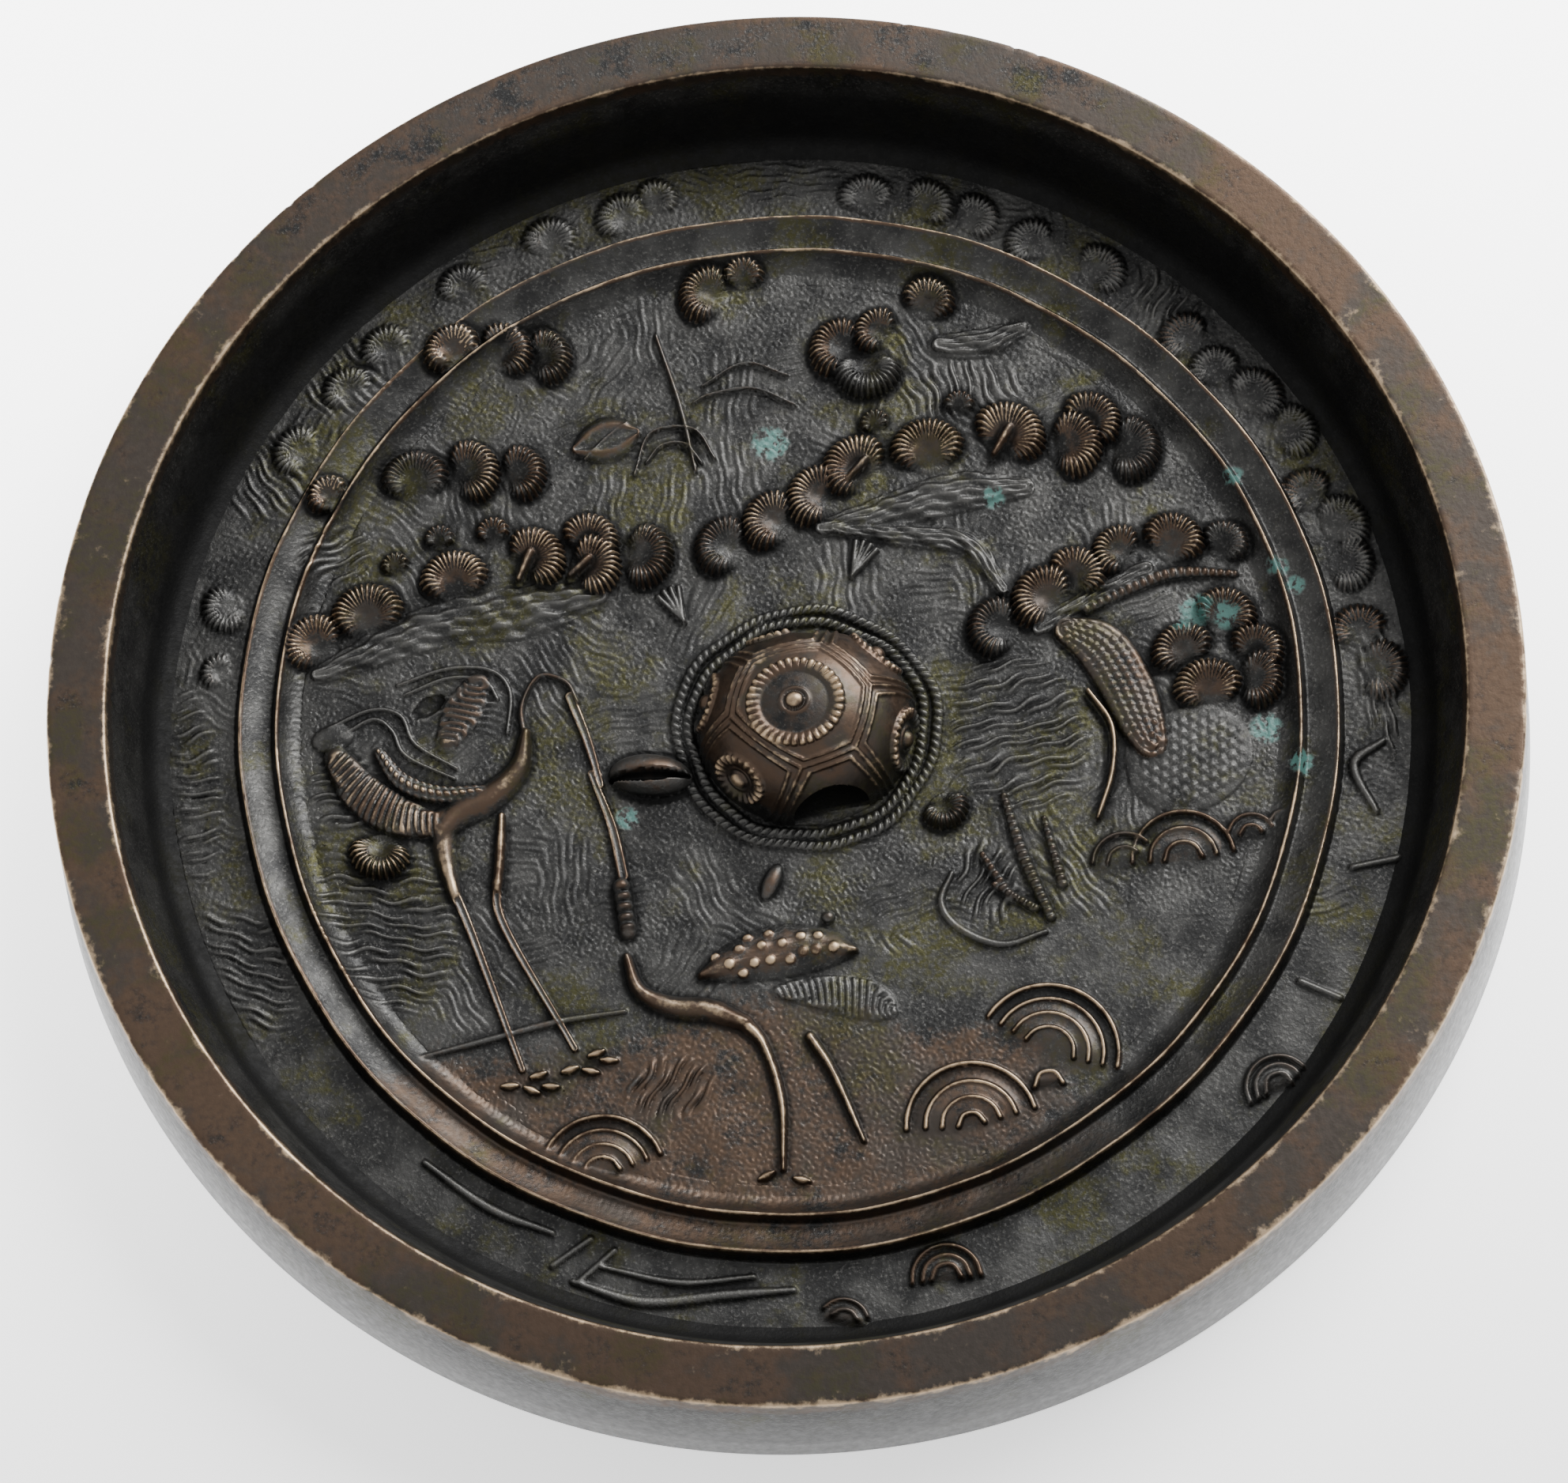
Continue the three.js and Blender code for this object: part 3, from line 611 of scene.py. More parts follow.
def tortoise_limbs(field):
    for place in MOUNDS:
        mound(field, *place)
    groove(field, TORTOISE_MOUTH, MOUTH_DEPTH)
    pine_fan(field, *TORTOISE_FOOT)
    for x, y, turn in PAWS:
        a = math.radians(turn)
        heel = (x - 2 * math.cos(a), y - 2 * math.sin(a), 0.4)
        for claw in CLAWS:
            a = math.radians(turn + claw)
            ridge(field, (heel, (x + PAW * math.cos(a), y + PAW * math.sin(a), 0.5)), CLAW_HEIGHT, 0.1)
    for i, radius in enumerate(BORDERS):
        at = field.near(KNOB[0], KNOB[1], radius + 2)
        dx = field.x[at] - KNOB[0]
        dy = field.y[at] - KNOB[1]
        turn = np.arctan2(dy, dx)
        sway = 0.25 * np.sin(5 * turn + i) + 0.15 * np.sin(11 * turn)
        across = (np.hypot(dx, dy / BORDER_SQUASH) - radius - sway) / 0.8
        beads = np.abs(np.cos(math.pi * radius * turn / BORDER_PITCH + 0.5 * i + across))
        section = (0.3 + 0.65 * beads) * round_section(across)
        field.stand(at, across, section, 0.05)


def pines(field):
    for points in BRANCHES:
        bark(field, points, BRANCH_HEIGHT)
    for points in ROPES:
        rope(field, points, ROPE_HEIGHT, 0.6)
    for clump in PINES:
        pine_fan(field, *clump)
    for clump in RING_PINES:
        pine_fan(field, *clump, RING_FAN_LIFT)
    for angle, distance, radius, apex, rub in BAND_PINES:
        a = math.radians(angle)
        x = distance * math.cos(a)
        y = distance * math.sin(a)
        pine_fan(field, x, y, radius, apex, rub, 0.0, BAND_TALL)
    for points in STEMS:
        ridge(field, points, STEM_HEIGHT, 0.8, STEM_LIFT)


def carve(field):
    """All of the picture, from the grain of the ground up."""
    plain = 1 - smooth(field.base - FIELD_Z, 0.1, 1.5)
    calm = smooth(-field.y, 26, 36) * (1 - 0.5 * shore_at(field.x, field.y))
    rough = plain * (1 - 0.8 * calm)
    field.z += GRAIN * (0.15 + 0.85 * rough) * ripple(field.x, field.y, 90, 0.5, 1.2)
    field.z += UNEVEN * ripple(field.x, field.y, 16, 6, 22)
    hatching(field)
    for place in WATERS:
        water(field, *place)
    edge = smooth(BAND_HIGH - np.hypot(field.x, field.y), 0.3, 3)
    field.z = field.base + edge * (field.z - field.base)
    for points in SHORES:
        ridge(field, points, SHORE_HEIGHT, 0.3)
    for points in WAVES:
        ridge(field, points, WAVE_HEIGHT, 0.15)
    for nest in ROCKS:
        rock(field, *nest)
    twin_ridge(field, LEAF, LEAF_HEIGHT, 0.6)
    for points in PLANTS:
        ridge(field, points, PLANT_HEIGHT, 0.35)
    scaly_parts(field)
    pines(field)
    cranes(field)
    tortoise_limbs(field)


def smooth_rise(radius, foot, crest, start):
    """A slope that steepens from its foot up to the crest of a ring."""
    t = np.clip((radius - foot) / (crest - foot), 0, 1)
    return start + (RING_HEIGHT - start) * (0.15 * t + 0.85 * t ** 2)


def ring_profile(radius):
    """Height of the plain back at a distance from the middle: the field and its two rings."""
    inner = smooth_rise(radius, INNER_RING - RING_SLOPE, INNER_RING, 0)
    valley = smooth_rise(radius, INNER_RING + RING_STEEP, OUTER_RING, RING_VALLEY)
    drop = np.clip((radius - INNER_RING) / RING_STEEP, 0, 1) * (RING_HEIGHT - RING_VALLEY)
    last = np.clip((radius - OUTER_RING) / RING_STEEP, 0, 1) * RING_HEIGHT
    step = np.where(radius < INNER_RING + RING_STEEP, inner - drop, valley - last)
    return FIELD_Z + step


def blurred(z, cells):
    """A running mean over a square of the grid, twice."""
    for _ in range(2):
        for axis in (0, 1):
            padded = np.pad(z, [(cells, cells) if a == axis else (0, 0) for a in (0, 1)], mode="edge")
            total = np.cumsum(np.insert(padded, 0, 0, axis=axis), axis=axis)
            width = 2 * cells + 1
            high = np.take(total, range(width, total.shape[axis]), axis=axis)
            low = np.take(total, range(0, total.shape[axis] - width), axis=axis)
            z = (high - low) / width
    return z


def picture_field():
    """The picture inside the rings on a square grid."""
    count = int(2 * PICTURE_RADIUS / PICTURE_STEP) + 1
    axis = np.linspace(-PICTURE_RADIUS, PICTURE_RADIUS, count)
    x, y = np.meshgrid(axis, axis)
    field = Field(x, y, np.full_like(x, FIELD_Z))
    carve(field)
    return field


def band_field():
    """The rings and the outer band on a polar grid, its rings a little out of true."""
    radii = np.linspace(BAND_LOW, BAND_HIGH, BAND_STEPS)
    crests = [np.abs(radii - r).argmin() for r in (INNER_RING, OUTER_RING)]
    radii[crests] = (INNER_RING, OUTER_RING)
    turns = np.linspace(0, 2 * math.pi, 2 * BAND_SIDES, endpoint=False)
    turn, radius = np.meshgrid(turns, radii)
    wobble = RING_WOBBLE * (np.sin(3 * turn + 0.7) + 0.6 * np.sin(7 * turn) + 0.35 * np.sin(19 * turn))
    x = (radius + wobble) * np.cos(turn)
    y = (radius + wobble) * np.sin(turn)
    field = Field(x, y, ring_profile(radius))
    # Crest lines rubbed bare, which the shader also paints as a bright highlight.
    for crest in (INNER_RING, OUTER_RING):
        field.rub += CREST_WEAR_AND_HIGHLIGHT * np.exp(-((radius.ravel() - crest) / CREST_LINE) ** 2)
    carve(field)
    return field


def mesh_from(name, points, faces):
    """A mesh object from points in millimetres."""
    mesh = bpy.data.meshes.new(name)
    mesh.from_pydata((points * MM).tolist(), [], faces)
    piece = bpy.data.objects.new(name, mesh)
    bpy.context.scene.collection.objects.link(piece)
    return piece


def grid_mesh(name, x, y, z, kept):
    """A sheet through the kept points of a grid."""
    index = np.full(x.shape, -1)
    index[kept] = np.arange(kept.sum())
    points = np.stack([x[kept], y[kept], z[kept]], 1)
    cell = [index[:-1, :-1], index[:-1, 1:], index[1:, 1:], index[1:, :-1]]
    faces = np.stack([corner.ravel() for corner in cell], 1)
    faces = faces[(faces >= 0).all(1)]
    used = np.unique(faces)
    renumber = np.full(len(points), -1)
    renumber[used] = np.arange(len(used))
    return mesh_from(name, points[used], renumber[faces].tolist())


def apply_modifiers(piece):
    depsgraph = bpy.context.evaluated_depsgraph_get()
    mesh = bpy.data.meshes.new_from_object(piece.evaluated_get(depsgraph))
    piece.modifiers.clear()
    old = piece.data
    piece.data = mesh
    bpy.data.meshes.remove(old)


def thin_out(piece, triangles):
    """Fewer triangles, kept where the relief is fine."""
    count = 2 * len(piece.data.polygons)
    if count <= triangles:
        return
    decimate = piece.modifiers.new("thin", "DECIMATE")
    decimate.ratio = triangles / count
    bpy.context.view_layer.update()
    apply_modifiers(piece)


def close_below(piece, z):
    """Walls down from the sheet's edge to a flat underside."""
    bm = bmesh.new()
    bm.from_mesh(piece.data)
    rim = [edge for edge in bm.edges if edge.is_boundary]
    walls = bmesh.ops.extrude_edge_only(bm, edges=rim)["geom"]
    for vert in (item for item in walls if isinstance(item, bmesh.types.BMVert)):
        vert.co.z = z * MM
    foot = [edge for edge in bm.edges if edge.is_boundary]
    bmesh.ops.holes_fill(bm, edges=foot, sides=0)
    bmesh.ops.triangulate(bm, faces=[face for face in bm.faces if len(face.verts) > 4])
    bmesh.ops.recalc_face_normals(bm, faces=bm.faces)
    for edge in rim:
        edge.smooth = False
    bm.to_mesh(piece.data)
    bm.free()


def finish_piece(piece, material):
    for polygon in piece.data.polygons:
        polygon.use_smooth = True
    piece.data.materials.clear()
    piece.data.materials.append(material)
    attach(piece, "root")
    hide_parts("mirror")


def coordinates(piece):
    flat = np.zeros(3 * len(piece.data.vertices))
    piece.data.vertices.foreach_get("co", flat)
    return flat.reshape(-1, 3) / MM


def set_attribute(piece, name, values):
    attribute = piece.data.attributes.new(name, "FLOAT", "POINT")
    attribute.data.foreach_set("value", np.asarray(values, np.float32))


def green_at(x, y):
    """How much green corrosion there is at places on the back."""
    green = np.zeros_like(x)
    for cx, cy, radius in VERDIGRIS:
        green = np.maximum(green, 1 - np.hypot(x - cx, y - cy) / (1.4 * radius))
    return np.clip(green, 0, 1)


def shore_at(x, y):
    """The smooth low ground at the foot of the picture."""
    below = smooth(-y - 2 * np.sin(x / 7) - 0.03 * (x + 20) ** 2 / 10, 35, 45)
    return below * smooth(78 - np.hypot(x, y), 0, 3) * (1 - smooth(x, 22, 48))


def worn_at(x, y, rub, proud):
    """How far the dark patina is rubbed through: on what stands proud, and on the low shore. Where it is
    highest the shader also paints a bright highlight.
    """
    figures = rub * (0.5 + 0.5 * smooth(proud, -0.05, 0.3))
    return np.clip(np.maximum(figures, SHORE_WEAR * shore_at(x, y)), 0, 1)


def paint_relief(piece, wear_and_highlight_map, hollow_patina_and_shade_map, sample):
    points = coordinates(piece)
    set_attribute(piece, "wear_and_highlight", sample(wear_and_highlight_map, points))
    set_attribute(piece, "hollow_patina_and_shade", sample(hollow_patina_and_shade_map, points))
    set_attribute(piece, "verdigris", green_at(points[:, 0], points[:, 1]))


def relief_maps(field, cells):
    z = field.grid() - field.base.reshape(field.shape)
    proud = z - blurred(z, cells)
    x, y, rub = (values.reshape(field.shape) for values in (field.x, field.y, field.rub))
    return worn_at(x, y, rub, proud), np.clip(0.5 - proud / 0.8, 0, 1)


def picture_sample(values, points):
    """Values of the picture's grid at places between its points."""
    row = np.clip((points[:, 1] + PICTURE_RADIUS) / PICTURE_STEP, 0, values.shape[0] - 1.001)
    column = np.clip((points[:, 0] + PICTURE_RADIUS) / PICTURE_STEP, 0, values.shape[1] - 1.001)
    r = row.astype(int)
    c = column.astype(int)
    fr = row - r
    fc = column - c
    low = values[r, c] * (1 - fc) + values[r, c + 1] * fc
    high = values[r + 1, c] * (1 - fc) + values[r + 1, c + 1] * fc
    return low * (1 - fr) + high * fr


def picture_pieces(material):
    """The picture as three closed slabs that overlap a little and dip under each other's edges."""
    field = picture_field()
    x = field.x.reshape(field.shape)
    y = field.y.reshape(field.shape)
    z = field.grid()
    wear_and_highlight, hollow_patina_and_shade = relief_maps(field, 5)
    radius = np.hypot(x, y)
    bounds = ((PICTURE_RADIUS, PICTURE_CUTS[0]), PICTURE_CUTS, (PICTURE_CUTS[1], -PICTURE_RADIUS))
    names = ("picture_pines", "picture_middle", "picture_shore")
    for name, (top, bottom) in zip(names, bounds):
        room = np.minimum(PICTURE_RADIUS - radius, np.minimum(top - y, y - bottom) + CUT_OVERLAP)
        sunk = z - DIP * (1 - smooth(room, 0, DIP_WIDTH))
        piece = grid_mesh(name, x, y, sunk, room > 0)
        thin_out(piece, PICTURE_TRIANGLES)
        close_below(piece, FLOOR_Z)
        finish_piece(piece, material)
        paint_relief(piece, wear_and_highlight, hollow_patina_and_shade, picture_sample)


def band_pieces(material):
    """The rings and the outer band as two closed half rings."""
    field = band_field()
    wear_and_highlight, hollow_patina_and_shade = relief_maps(field, 4)
    # Painted sheen: the ring slopes are made a lighter, smoother grey.
    sheen = RING_SHEEN * smooth(field.base.reshape(field.shape) - FIELD_Z, 0.6, RING_HEIGHT)
    grids = [values.reshape(field.shape) for values in (field.x, field.y, field.z)] + [wear_and_highlight, hollow_patina_and_shade, sheen]
    step = np.linspace(BAND_LOW, BAND_HIGH, BAND_STEPS)[:, None]
    room = np.minimum(step - BAND_LOW, BAND_HIGH - step)
    grids[2] = grids[2] - DIP * (1 - smooth(room, 0, DIP_WIDTH))
    for name, first in (("band_far", 0), ("band_near", BAND_SIDES)):
        columns = np.arange(first, first + BAND_SIDES + 1) % (2 * BAND_SIDES)
        x, y, z, worn_and_highlight, dark, pale = (grid[:, columns] for grid in grids)
        piece = grid_mesh(name, x, y, z, np.ones_like(x, bool))
        set_attribute(piece, "wear_and_highlight", worn_and_highlight.ravel())
        set_attribute(piece, "hollow_patina_and_shade", dark.ravel())
        # Here this attribute holds only the painted sheen of the ring slopes.
        set_attribute(piece, "polish_and_sheen", pale.ravel())
        set_attribute(piece, "verdigris", green_at(x.ravel(), y.ravel()))
        close_below(piece, FLOOR_Z)
        finish_piece(piece, material)


def rim_profile():
    """Radius and height of the plain body, from the middle of the face round to the floor inside."""
    corner = np.radians(np.linspace(0, 90, 5))
    outer = [(RIM_RADIUS - EDGE + EDGE * math.cos(a), HEIGHT - EDGE + EDGE * math.sin(a)) for a in corner]
    inner = [(RIM_INNER + EDGE - EDGE * math.sin(a), HEIGHT - EDGE + EDGE * math.cos(a)) for a in corner]
    wall = [(RIM_INNER + (WALL_FOOT[0] - RIM_INNER) * t, HEIGHT - EDGE + (WALL_FOOT[1] - HEIGHT + EDGE) * t)
            for t in (0.2, 0.45, 0.7, 0.9, 1.0)]
    foot = [(WALL_FOOT[0] - 0.6, WALL_FOOT[1] - 1.4), (WALL_FOOT[0] - 1.5, FIELD_Z + 0.5),
            (FIELD_RADIUS, FIELD_Z), (FIELD_RADIUS - 1.5, FLOOR_Z + 0.3)]
    top = [(RIM_RADIUS + (RIM_INNER - RIM_RADIUS) * t, HEIGHT) for t in (0.12, 0.25, 0.5, 0.75, 0.88)]
    side = [(FACE_RADIUS + (RIM_RADIUS - FACE_RADIUS) * t, EDGE + (HEIGHT - 2 * EDGE) * t)
            for t in (0, 0.25, 0.5, 0.75)]
    face = [(r, 0) for r in (20, 60, 90, FACE_RADIUS - EDGE)]
    floor = [(60, FLOOR_Z), (20, FLOOR_Z)]
    return np.array(face + side + outer + top + inner + wall + foot + floor)


def nicks(turns):
    """How deep the rim's outer edge is nicked around the disc."""
    depth = np.zeros_like(turns)
    for first, last, count in NICK_ZONES:
        for _ in range(count):
            at = math.radians(rng.uniform(first, last))
            half = rng.uniform(0.2, 0.9) / RIM_RADIUS
            deep = NICK_DEPTH * rng.uniform(0.2, 1) ** 2
            depth = np.maximum(depth, deep * np.clip(1 - np.abs(turns - at) / half, 0, 1))
    return depth


def body_piece(material):
    """Face, outer wall, rim and inner wall, closed below the relief."""
    profile = rim_profile()
    turns = np.linspace(0, 2 * math.pi, DISC_SIDES, endpoint=False)
    turn, row = np.meshgrid(turns, np.arange(len(profile)), indexing="ij")
    radius = profile[row, 0]
    z = profile[row, 1].astype(float)
    at_edge = np.exp(-np.hypot(radius - RIM_RADIUS, z - HEIGHT) / 0.45)
    cut = nicks(turns)[:, None] * at_edge
    radius = radius - cut
    z = z - cut
    points = np.stack([radius * np.cos(turn), radius * np.sin(turn), z], 2).reshape(-1, 3)
    middle = len(points)
    points = np.vstack([points, [[0, 0, 0], [0, 0, FLOOR_Z]]])
    size = len(profile)
    this = np.arange(DISC_SIDES)[:, None] * size + np.arange(size - 1)
    after = (np.arange(DISC_SIDES)[:, None] + 1) % DISC_SIDES * size + np.arange(size - 1)
    quads = np.stack([this, after, after + 1, this + 1], 2).reshape(-1, 4)
    first = np.arange(DISC_SIDES) * size
    following = np.roll(first, -1)
    face_fan = np.stack([following, first, np.full(DISC_SIDES, middle)], 1)
    floor_fan = np.stack([first + size - 1, following + size - 1, np.full(DISC_SIDES, middle + 1)], 1)
    piece = mesh_from("mirror_body", points, quads.tolist() + face_fan.tolist() + floor_fan.tolist())
    finish_piece(piece, material)
    radius = np.hypot(points[:, 0], points[:, 1])
    z = points[:, 2]
    on_top = smooth(z, HEIGHT - 1.2, HEIGHT - 0.2)
    # Both rim edges are rubbed more, and are painted as thin bright highlight lines.
    edges = np.exp(-np.abs(radius - RIM_INNER) / 0.5) + np.exp(-np.abs(radius - RIM_RADIUS) / 0.5)
    inside = smooth(RIM_INNER - 0.1 - radius, 0, 1)
    away = points[:, 1] / RIM_RADIUS
    # Less brown towards the far side of the rim top.
    far_side_greyer = 1 - 0.4 * smooth(away, 0.6, 1.0)
    set_attribute(piece, "wear_and_highlight", np.clip(on_top * (RIM_WEAR * far_side_greyer + 0.6 * edges), 0, 1))
    # Painted shade: the inner wall is dark, more towards the far side, and black at its foot and fillet
    # where the wall's shadow falls; the near part of the rim top is made darker too.
    shaded = 0.2 + 0.8 * smooth(away, 0.0, 0.6)
    deep = np.maximum(shaded * smooth(HEIGHT - z, 1, 8), smooth(HEIGHT - z, 8, 13))
    wall_shade_and_near_rim_dark = 0.45 * inside * deep + 0.2 * on_top * smooth(-away, 0.4, 0.9)
    set_attribute(piece, "hollow_patina_and_shade", 0.5 + wall_shade_and_near_rim_dark)
    # Painted reflection of the floor, partly real polish: the outer wall is a lighter, smoother grey,
    # lightest towards the bottom.
    outside = smooth(radius, RIM_RADIUS - 0.2, RIM_RADIUS) * (1 - on_top)
    set_attribute(piece, "polish_and_sheen", outside * (0.2 + 0.8 * smooth(HEIGHT - z, 2, HEIGHT)))
    set_attribute(piece, "verdigris", np.zeros(len(points)))


def rosette(direction, centre, away, ring):
    """A plate's flower: a scalloped ring around a shallow dish with a boss in its middle."""
    side = np.cross(centre, (0.3, 1.0, 0.2))
    side = side / np.linalg.norm(side)
    turn = np.arctan2(direction @ np.cross(centre, side), direction @ side)
    ribs = round(2 * math.pi * ring / PETAL_PITCH)
    comb = np.abs(np.cos(0.5 * ribs * turn)) ** 0.7
    petals = smooth(away, ring - 1.5, ring) * (1 - smooth(away, ring + 0.3, ring + 0.6))
    dish = -0.35 * smooth(ring - away, 1.0, 1.6)
    boss = np.sqrt(np.clip(1 - (away / 1.3) ** 2, 0, 1))
    collar = 0.3 * np.exp(-((away - 1.9) / 0.25) ** 2)
    return petals * (0.12 + 0.55 * comb) + dish + boss + collar


def plate_height(direction):
    """How far the shell stands out along each direction."""
    centres = []
    for turn, tilt, _ in PLATES:
        a = math.radians(turn)
        t = math.radians(tilt)
        centres.append(np.array((math.sin(t) * math.cos(a), math.sin(t) * math.sin(a), math.cos(t))))
    mean_radius = 0.5 * (KNOB_HALF[0] + KNOB_HALF[1])
    away = np.stack([mean_radius * np.arccos(np.clip(direction @ c, -1, 1)) for c in centres], -1)
    order = np.sort(away, -1)
    to_border = 0.5 * (order[..., 1] - order[..., 0])
    own = away.argmin(-1)
    rise = np.zeros(own.shape)
    for line in PLATE_LINES:
        rise += 0.38 * np.exp(-((to_border - line) / 0.22) ** 2)
    for k, (_, _, ring) in enumerate(PLATES):
        if ring:
            flower = rosette(direction, centres[k], away[..., k], ring)
            rise += np.where(own == k, flower, 0)
    return rise


def arch_tool():
    """The cord hole's room: an arch through the knob from front to back."""
    half = HOLE_WIDTH / 2
    turns = np.linspace(0, math.pi, 25)
    section = [(half * math.cos(a), HOLE_HEIGHT - half + half * math.sin(a)) for a in turns]
    section += [(-half, HOLE_FLOOR), (half, HOLE_FLOOR)]
    count = len(section)
    stations = np.linspace(-HOLE_LENGTH / 2, HOLE_LENGTH / 2, HOLE_STEPS + 1)
    points = [(HOLE_X + x, KNOB[1] + y, FIELD_Z + z) for y in stations for x, z in section]
    faces = []
    for k in range(0, HOLE_STEPS * count, count):
        for i in range(count):
            j = (i + 1) % count
            faces.append([k + i, k + j, k + count + j, k + count + i])
    last = HOLE_STEPS * count
    faces += [list(range(count))[::-1], list(range(last, last + count))]
    tool = mesh_from("arch", np.array(points), faces)
    bm = bmesh.new()
    bm.from_mesh(tool.data)
    bmesh.ops.recalc_face_normals(bm, faces=bm.faces)
    bm.to_mesh(tool.data)
    bm.free()
    return tool


def knob_piece(material):
    """The tortoise's shell with its plates, pierced for the cord."""
    tilts = np.linspace(0, 0.5 * math.pi, KNOB_ROWS + 1)[1:]
    turns = np.linspace(0, 2 * math.pi, KNOB_SIDES, endpoint=False)
    turn, tilt = np.meshgrid(turns, tilts)
    direction = np.stack([np.sin(tilt) * np.cos(turn), np.sin(tilt) * np.sin(turn), np.cos(tilt)], -1)
    rise = plate_height(direction)
    normal = direction / np.array(KNOB_HALF)
    normal = normal / np.linalg.norm(normal, axis=-1, keepdims=True)
    shell = direction * np.array(KNOB_HALF) + normal * rise[..., None]
    shell += np.array([KNOB[0], KNOB[1], FIELD_Z])
    foot = shell[-1].copy()
    foot[:, 2] = FLOOR_Z
    rows = np.concatenate([shell, foot[None]], 0).reshape(-1, 3)
    crown = plate_height(np.array([[0.0, 0.0, 1.0]]))[0]
    ends = [[KNOB[0], KNOB[1], FIELD_Z + KNOB_HALF[2] + crown], [KNOB[0], KNOB[1], FLOOR_Z]]
    points = np.vstack([rows, ends])
    ring = np.arange(KNOB_SIDES)
    after = np.roll(ring, -1)
    faces = []
    for k in range(KNOB_ROWS):
        a = k * KNOB_SIDES
        b = a + KNOB_SIDES
        faces += np.stack([a + ring, b + ring, b + after, a + after], 1).tolist()
    last = KNOB_ROWS * KNOB_SIDES
    faces += [[i, j, len(rows)] for i, j in zip(ring.tolist(), after.tolist())]
    faces += [[last + j, last + i, len(rows) + 1] for i, j in zip(ring.tolist(), after.tolist())]
    piece = mesh_from("tortoise_knob", points, faces)
    tool = arch_tool()
    cut = piece.modifiers.new("hole", "BOOLEAN")
    cut.object = tool
    cut.solver = "EXACT"
    bpy.context.view_layer.update()
    apply_modifiers(piece)
    bpy.data.objects.remove(tool)
    finish_piece(piece, material)
    points = coordinates(piece)
    place = (points - np.array([KNOB[0], KNOB[1], FIELD_Z])) / np.array(KNOB_HALF)
    out = np.linalg.norm(place, axis=1)
    direction = place / np.maximum(out, 1e-6)[:, None]
    rise = plate_height(direction)
    outside = smooth(out, 0.93, 0.98)
    rubbed = outside * smooth(points[:, 2], FIELD_Z + 1.5, FIELD_Z + 5)
    set_attribute(piece, "wear_and_highlight", np.clip(rubbed * (0.6 + 0.65 * rise), 0, 1))
    # Darker where the plates sink between their lines, and inside the cord hole.
    set_attribute(piece, "hollow_patina_and_shade", np.clip(0.5 - 0.5 * rise + 0.5 * (1 - outside), 0, 1))
    set_attribute(piece, "verdigris", np.zeros(len(points)))


class Shader:
    """Small helper for building a node material."""

    def __init__(self, name):
        self.material = bpy.data.materials.new(name)
        self.material.use_nodes = True
        self.tree = self.material.node_tree
        self.principled = self.tree.nodes["Principled BSDF"]

    def put(self, socket, value):
        if isinstance(value, bpy.types.NodeSocket):
            self.tree.links.new(value, socket)
        else:
            socket.default_value = value

    def surface(self, name, value):
        self.put(self.principled.inputs[name], value)

    def node(self, kind, settings=(), inputs=()):
        node = self.tree.nodes.new(kind)
        for name, value in dict(settings).items():
            setattr(node, name, value)
        for key, value in dict(inputs).items():
            self.put(node.inputs[key], value)
        return node

    def math(self, operation, a, b):
        return self.node("ShaderNodeMath", {"operation": operation}, {0: a, 1: b}).outputs[0]

    def mix(self, factor, a, b):
        node = self.node("ShaderNodeMix", {"data_type": "RGBA", "clamp_factor": True})
        self.put(node.inputs["Factor"], factor)
        self.put(node.inputs[6], a)
        self.put(node.inputs[7], b)
        return node.outputs[2]

    def attribute(self, name):
        return self.node("ShaderNodeAttribute", {"attribute_name": name}).outputs["Fac"]

    def noise(self, scale, detail, roughness=0.55):
        place = self.node("ShaderNodeTexCoord").outputs["Object"]
        inputs = {"Vector": place, "Scale": scale, "Detail": detail, "Roughness": roughness}
        return self.node("ShaderNodeTexNoise", {}, inputs).outputs["Fac"]

    def step(self, value, low, high, first=0.0, last=1.0):
        inputs = {"Value": value, "From Min": low, "From Max": high, "To Min": first, "To Max": last}
        return self.node("ShaderNodeMapRange", {"interpolation_type": "SMOOTHSTEP"}, inputs).outputs[0]

    def bump(self, height, strength, distance, normal=None):
        inputs = {"Height": height, "Strength": strength, "Distance": distance}
        if normal is not None:
            inputs["Normal"] = normal
        return self.node("ShaderNodeBump", {}, inputs).outputs[0]


BLACK = (0.006, 0.006, 0.006, 1)
DARK = (0.018, 0.018, 0.018, 1)
GREY = (0.042, 0.0415, 0.040, 1)
PALE = (0.13, 0.127, 0.12, 1)
BROWN = (0.060, 0.040, 0.028, 1)
DULL = (0.042, 0.035, 0.030, 1)
# A bright golden colour for rubbed bronze, also standing in for a painted highlight.
BRIGHT_BRONZE_HIGHLIGHT = (0.42, 0.31, 0.20, 1)
OLIVE = (0.036, 0.035, 0.013, 1)
GREEN = (0.038, 0.105, 0.092, 1)
# A lighter grey for polished metal, also used as a painted sheen and reflection.
POLISH_AND_SHEEN_GREY = (0.09, 0.09, 0.09, 1)


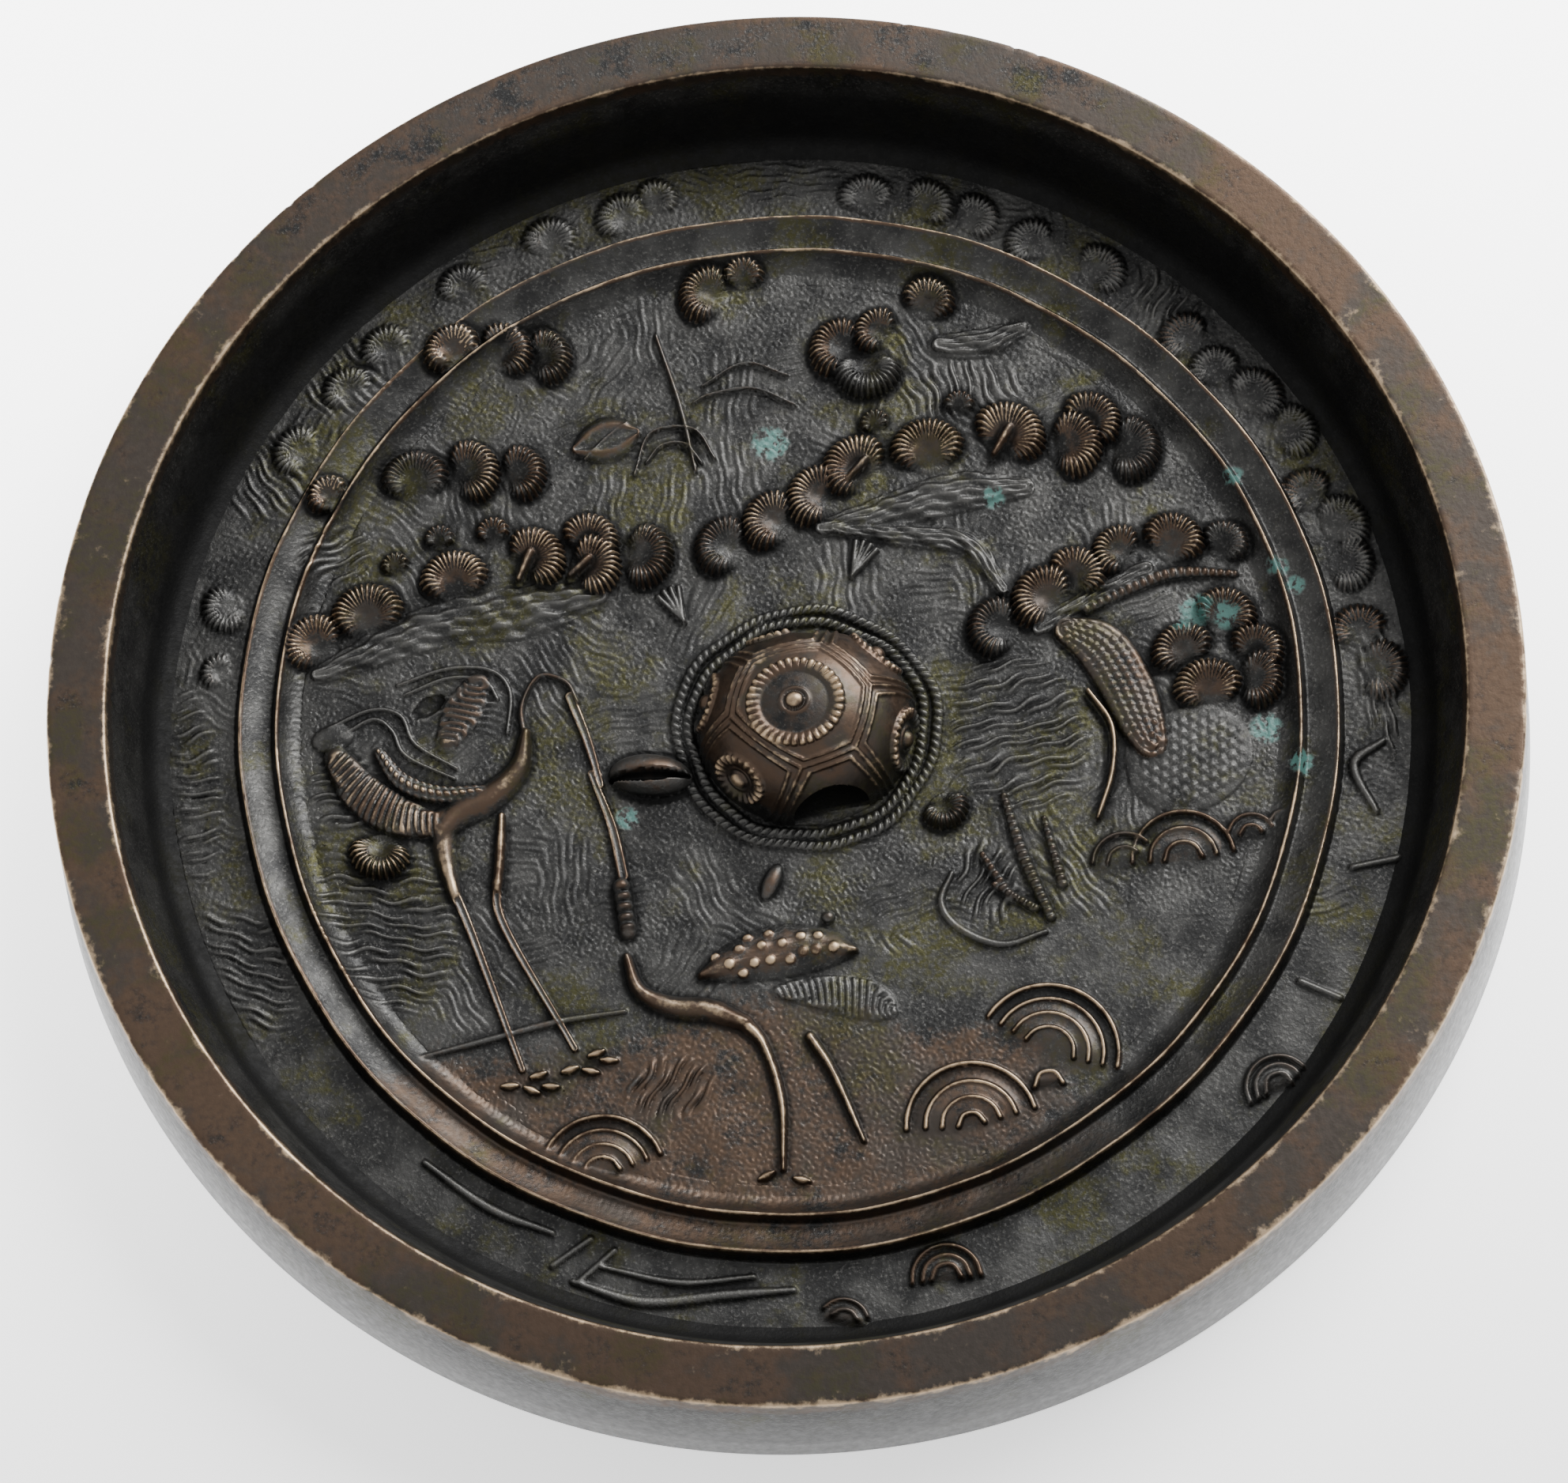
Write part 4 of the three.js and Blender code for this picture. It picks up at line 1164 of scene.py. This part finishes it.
def bronze():
    """Cast bronze under a dark patina, rubbed brown on what stands proud, with green in places; painted
    highlights where it is rubbed most, painted shade, and a painted sheen and reflection.
    """
    s = Shader("bronze")
    wear_and_highlight = s.attribute("wear_and_highlight")
    hollow_patina_and_shade = s.attribute("hollow_patina_and_shade")
    polish_and_sheen = s.attribute("polish_and_sheen")
    broad = s.noise(38, 5, 0.6)
    middle = s.noise(160, 5, 0.6)
    fine = s.noise(900, 4, 0.6)
    grain = s.noise(2200, 3, 0.6)
    patina = s.mix(s.step(middle, 0.35, 0.65), DARK, GREY)
    olive = s.math("MULTIPLY", s.step(s.noise(75, 5, 0.65), 0.5, 0.62), s.step(fine, 0.38, 0.6, 0.15, 0.85))
    patina = s.mix(olive, patina, OLIVE)
    patina = s.mix(s.step(grain, 0.52, 0.72, 0.0, 0.35), patina, PALE)
    patina = s.mix(s.step(hollow_patina_and_shade, 0.15, 0.47, 0.35, 0.0), patina, PALE)
    # Black in hollows from patina, and where the body's inner wall and its foot have painted shade.
    patina = s.mix(s.step(hollow_patina_and_shade, 0.54, 0.95, 0.0, 0.9), patina, BLACK)
    # Painted sheen and reflection, partly real polish: a lighter, smoother grey on the ring slopes and on
    # the outer wall, lightest towards the floor.
    patina = s.mix(polish_and_sheen, patina, POLISH_AND_SHEEN_GREY)
    unevenness = s.math("SUBTRACT", middle, 0.5)
    ragged = s.math("ADD", wear_and_highlight, s.math("MULTIPLY", s.math("SUBTRACT", fine, 0.5), 0.6))
    ragged = s.math("ADD", ragged, unevenness)
    rubbed = s.step(ragged, 0.2, 0.55)
    metal = s.mix(s.step(s.math("ADD", broad, unevenness), 0.4, 0.62), BROWN, DULL)
    metal = s.mix(s.math("MULTIPLY", olive, 0.6), metal, OLIVE)
    metal = s.mix(s.step(hollow_patina_and_shade, 0.55, 0.9, 0.0, 0.8), metal, BLACK)
    colour = s.mix(rubbed, patina, metal)
    # Painted highlight: where it is rubbed most the metal turns bright golden.
    colour = s.mix(s.step(ragged, 0.72, 1.1, 0.0, 0.8), colour, BRIGHT_BRONZE_HIGHLIGHT)
    spots = s.math("MULTIPLY", s.attribute("verdigris"), s.step(fine, 0.3, 0.6))
    colour = s.mix(s.step(spots, 0.15, 0.5), colour, GREEN)
    s.surface("Base Color", colour)
    s.surface("Metallic", s.step(spots, 0.1, 0.4, 0.92, 0.1))
    rough = s.math("ADD", s.step(rubbed, 0, 1, 0.44, 0.38), s.step(fine, 0.2, 0.8, -0.06, 0.1))
    rough = s.math("ADD", rough, s.step(hollow_patina_and_shade, 0.55, 1.0, 0.0, 0.2))
    rough = s.math("SUBTRACT", rough, s.step(polish_and_sheen, 0.0, 1.0, 0.0, 0.1))
    s.surface("Roughness", rough)
    pits = s.bump(fine, 0.3, 0.00012)
    bare = s.math("SUBTRACT", 1.0, s.math("MAXIMUM", rubbed, polish_and_sheen))
    skin = s.bump(grain, s.step(bare, 0, 1, 0.12, 0.8), 0.00009, pits)
    s.surface("Normal", skin)
    return s.material


def floor_material():
    s = Shader("floor")
    paper = s.noise(3, 3)
    s.surface("Base Color", s.mix(paper, (0.92, 0.92, 0.92, 1), (0.94, 0.94, 0.94, 1)))
    s.surface("Roughness", 0.7)
    s.surface("Emission Color", (1, 1, 1, 1))
    place = s.node("ShaderNodeTexCoord").outputs["Object"]
    across = s.node("ShaderNodeSeparateXYZ", {}, {0: place}).outputs["Y"]
    s.surface("Emission Strength", s.step(across, -0.16, 0.16, *FLOOR_GLOW))
    return s.material


def make_floor():
    bpy.ops.mesh.primitive_plane_add(size=6, location=(0, 0, LOW[2] * MM))
    floor = bpy.context.object
    floor.name = "floor"
    floor.data.materials.append(floor_material())


def make_camera():
    e = math.radians(ELEVATION)
    r = math.radians(ROLL)
    back = Vector((0, -math.cos(e), math.sin(e)))
    up = Vector((0, math.sin(e), math.cos(e)))
    right = Vector((1, 0, 0))
    image_right = right * math.cos(r) + up * math.sin(r)
    image_up = up * math.cos(r) - right * math.sin(r)
    place = (Vector(AIM) + back * DISTANCE) * MM
    data = bpy.data.cameras.new("camera")
    data.sensor_width = SENSOR
    data.sensor_fit = "HORIZONTAL"
    data.lens = LENS_PX / IMAGE_WIDTH_PX * SENSOR
    camera = bpy.data.objects.new("camera", data)
    turn = Matrix((image_right, image_up, back)).transposed().to_4x4()
    camera.matrix_world = Matrix.Translation(place) @ turn
    bpy.context.scene.collection.objects.link(camera)
    bpy.context.scene.camera = camera


def make_lights():
    world = bpy.data.worlds.new("studio")
    world.use_nodes = True
    background = world.node_tree.nodes["Background"].inputs
    background["Color"].default_value = (1, 1, 1, 1)
    background["Strength"].default_value = SURROUND
    bpy.context.scene.world = world
    data = bpy.data.lights.new("key", "AREA")
    data.size = KEY_SIZE
    data.energy = KEY_POWER
    light = bpy.data.objects.new("key", data)
    light.location = KEY_PLACE
    light.rotation_euler = (-Vector(KEY_PLACE)).to_track_quat("-Z", "Y").to_euler()
    bpy.context.scene.collection.objects.link(light)


def main():
    make_camera()
    make_floor()
    make_lights()
    metal = bronze()
    body_piece(metal)
    band_pieces(metal)
    picture_pieces(metal)
    knob_piece(metal)


main()
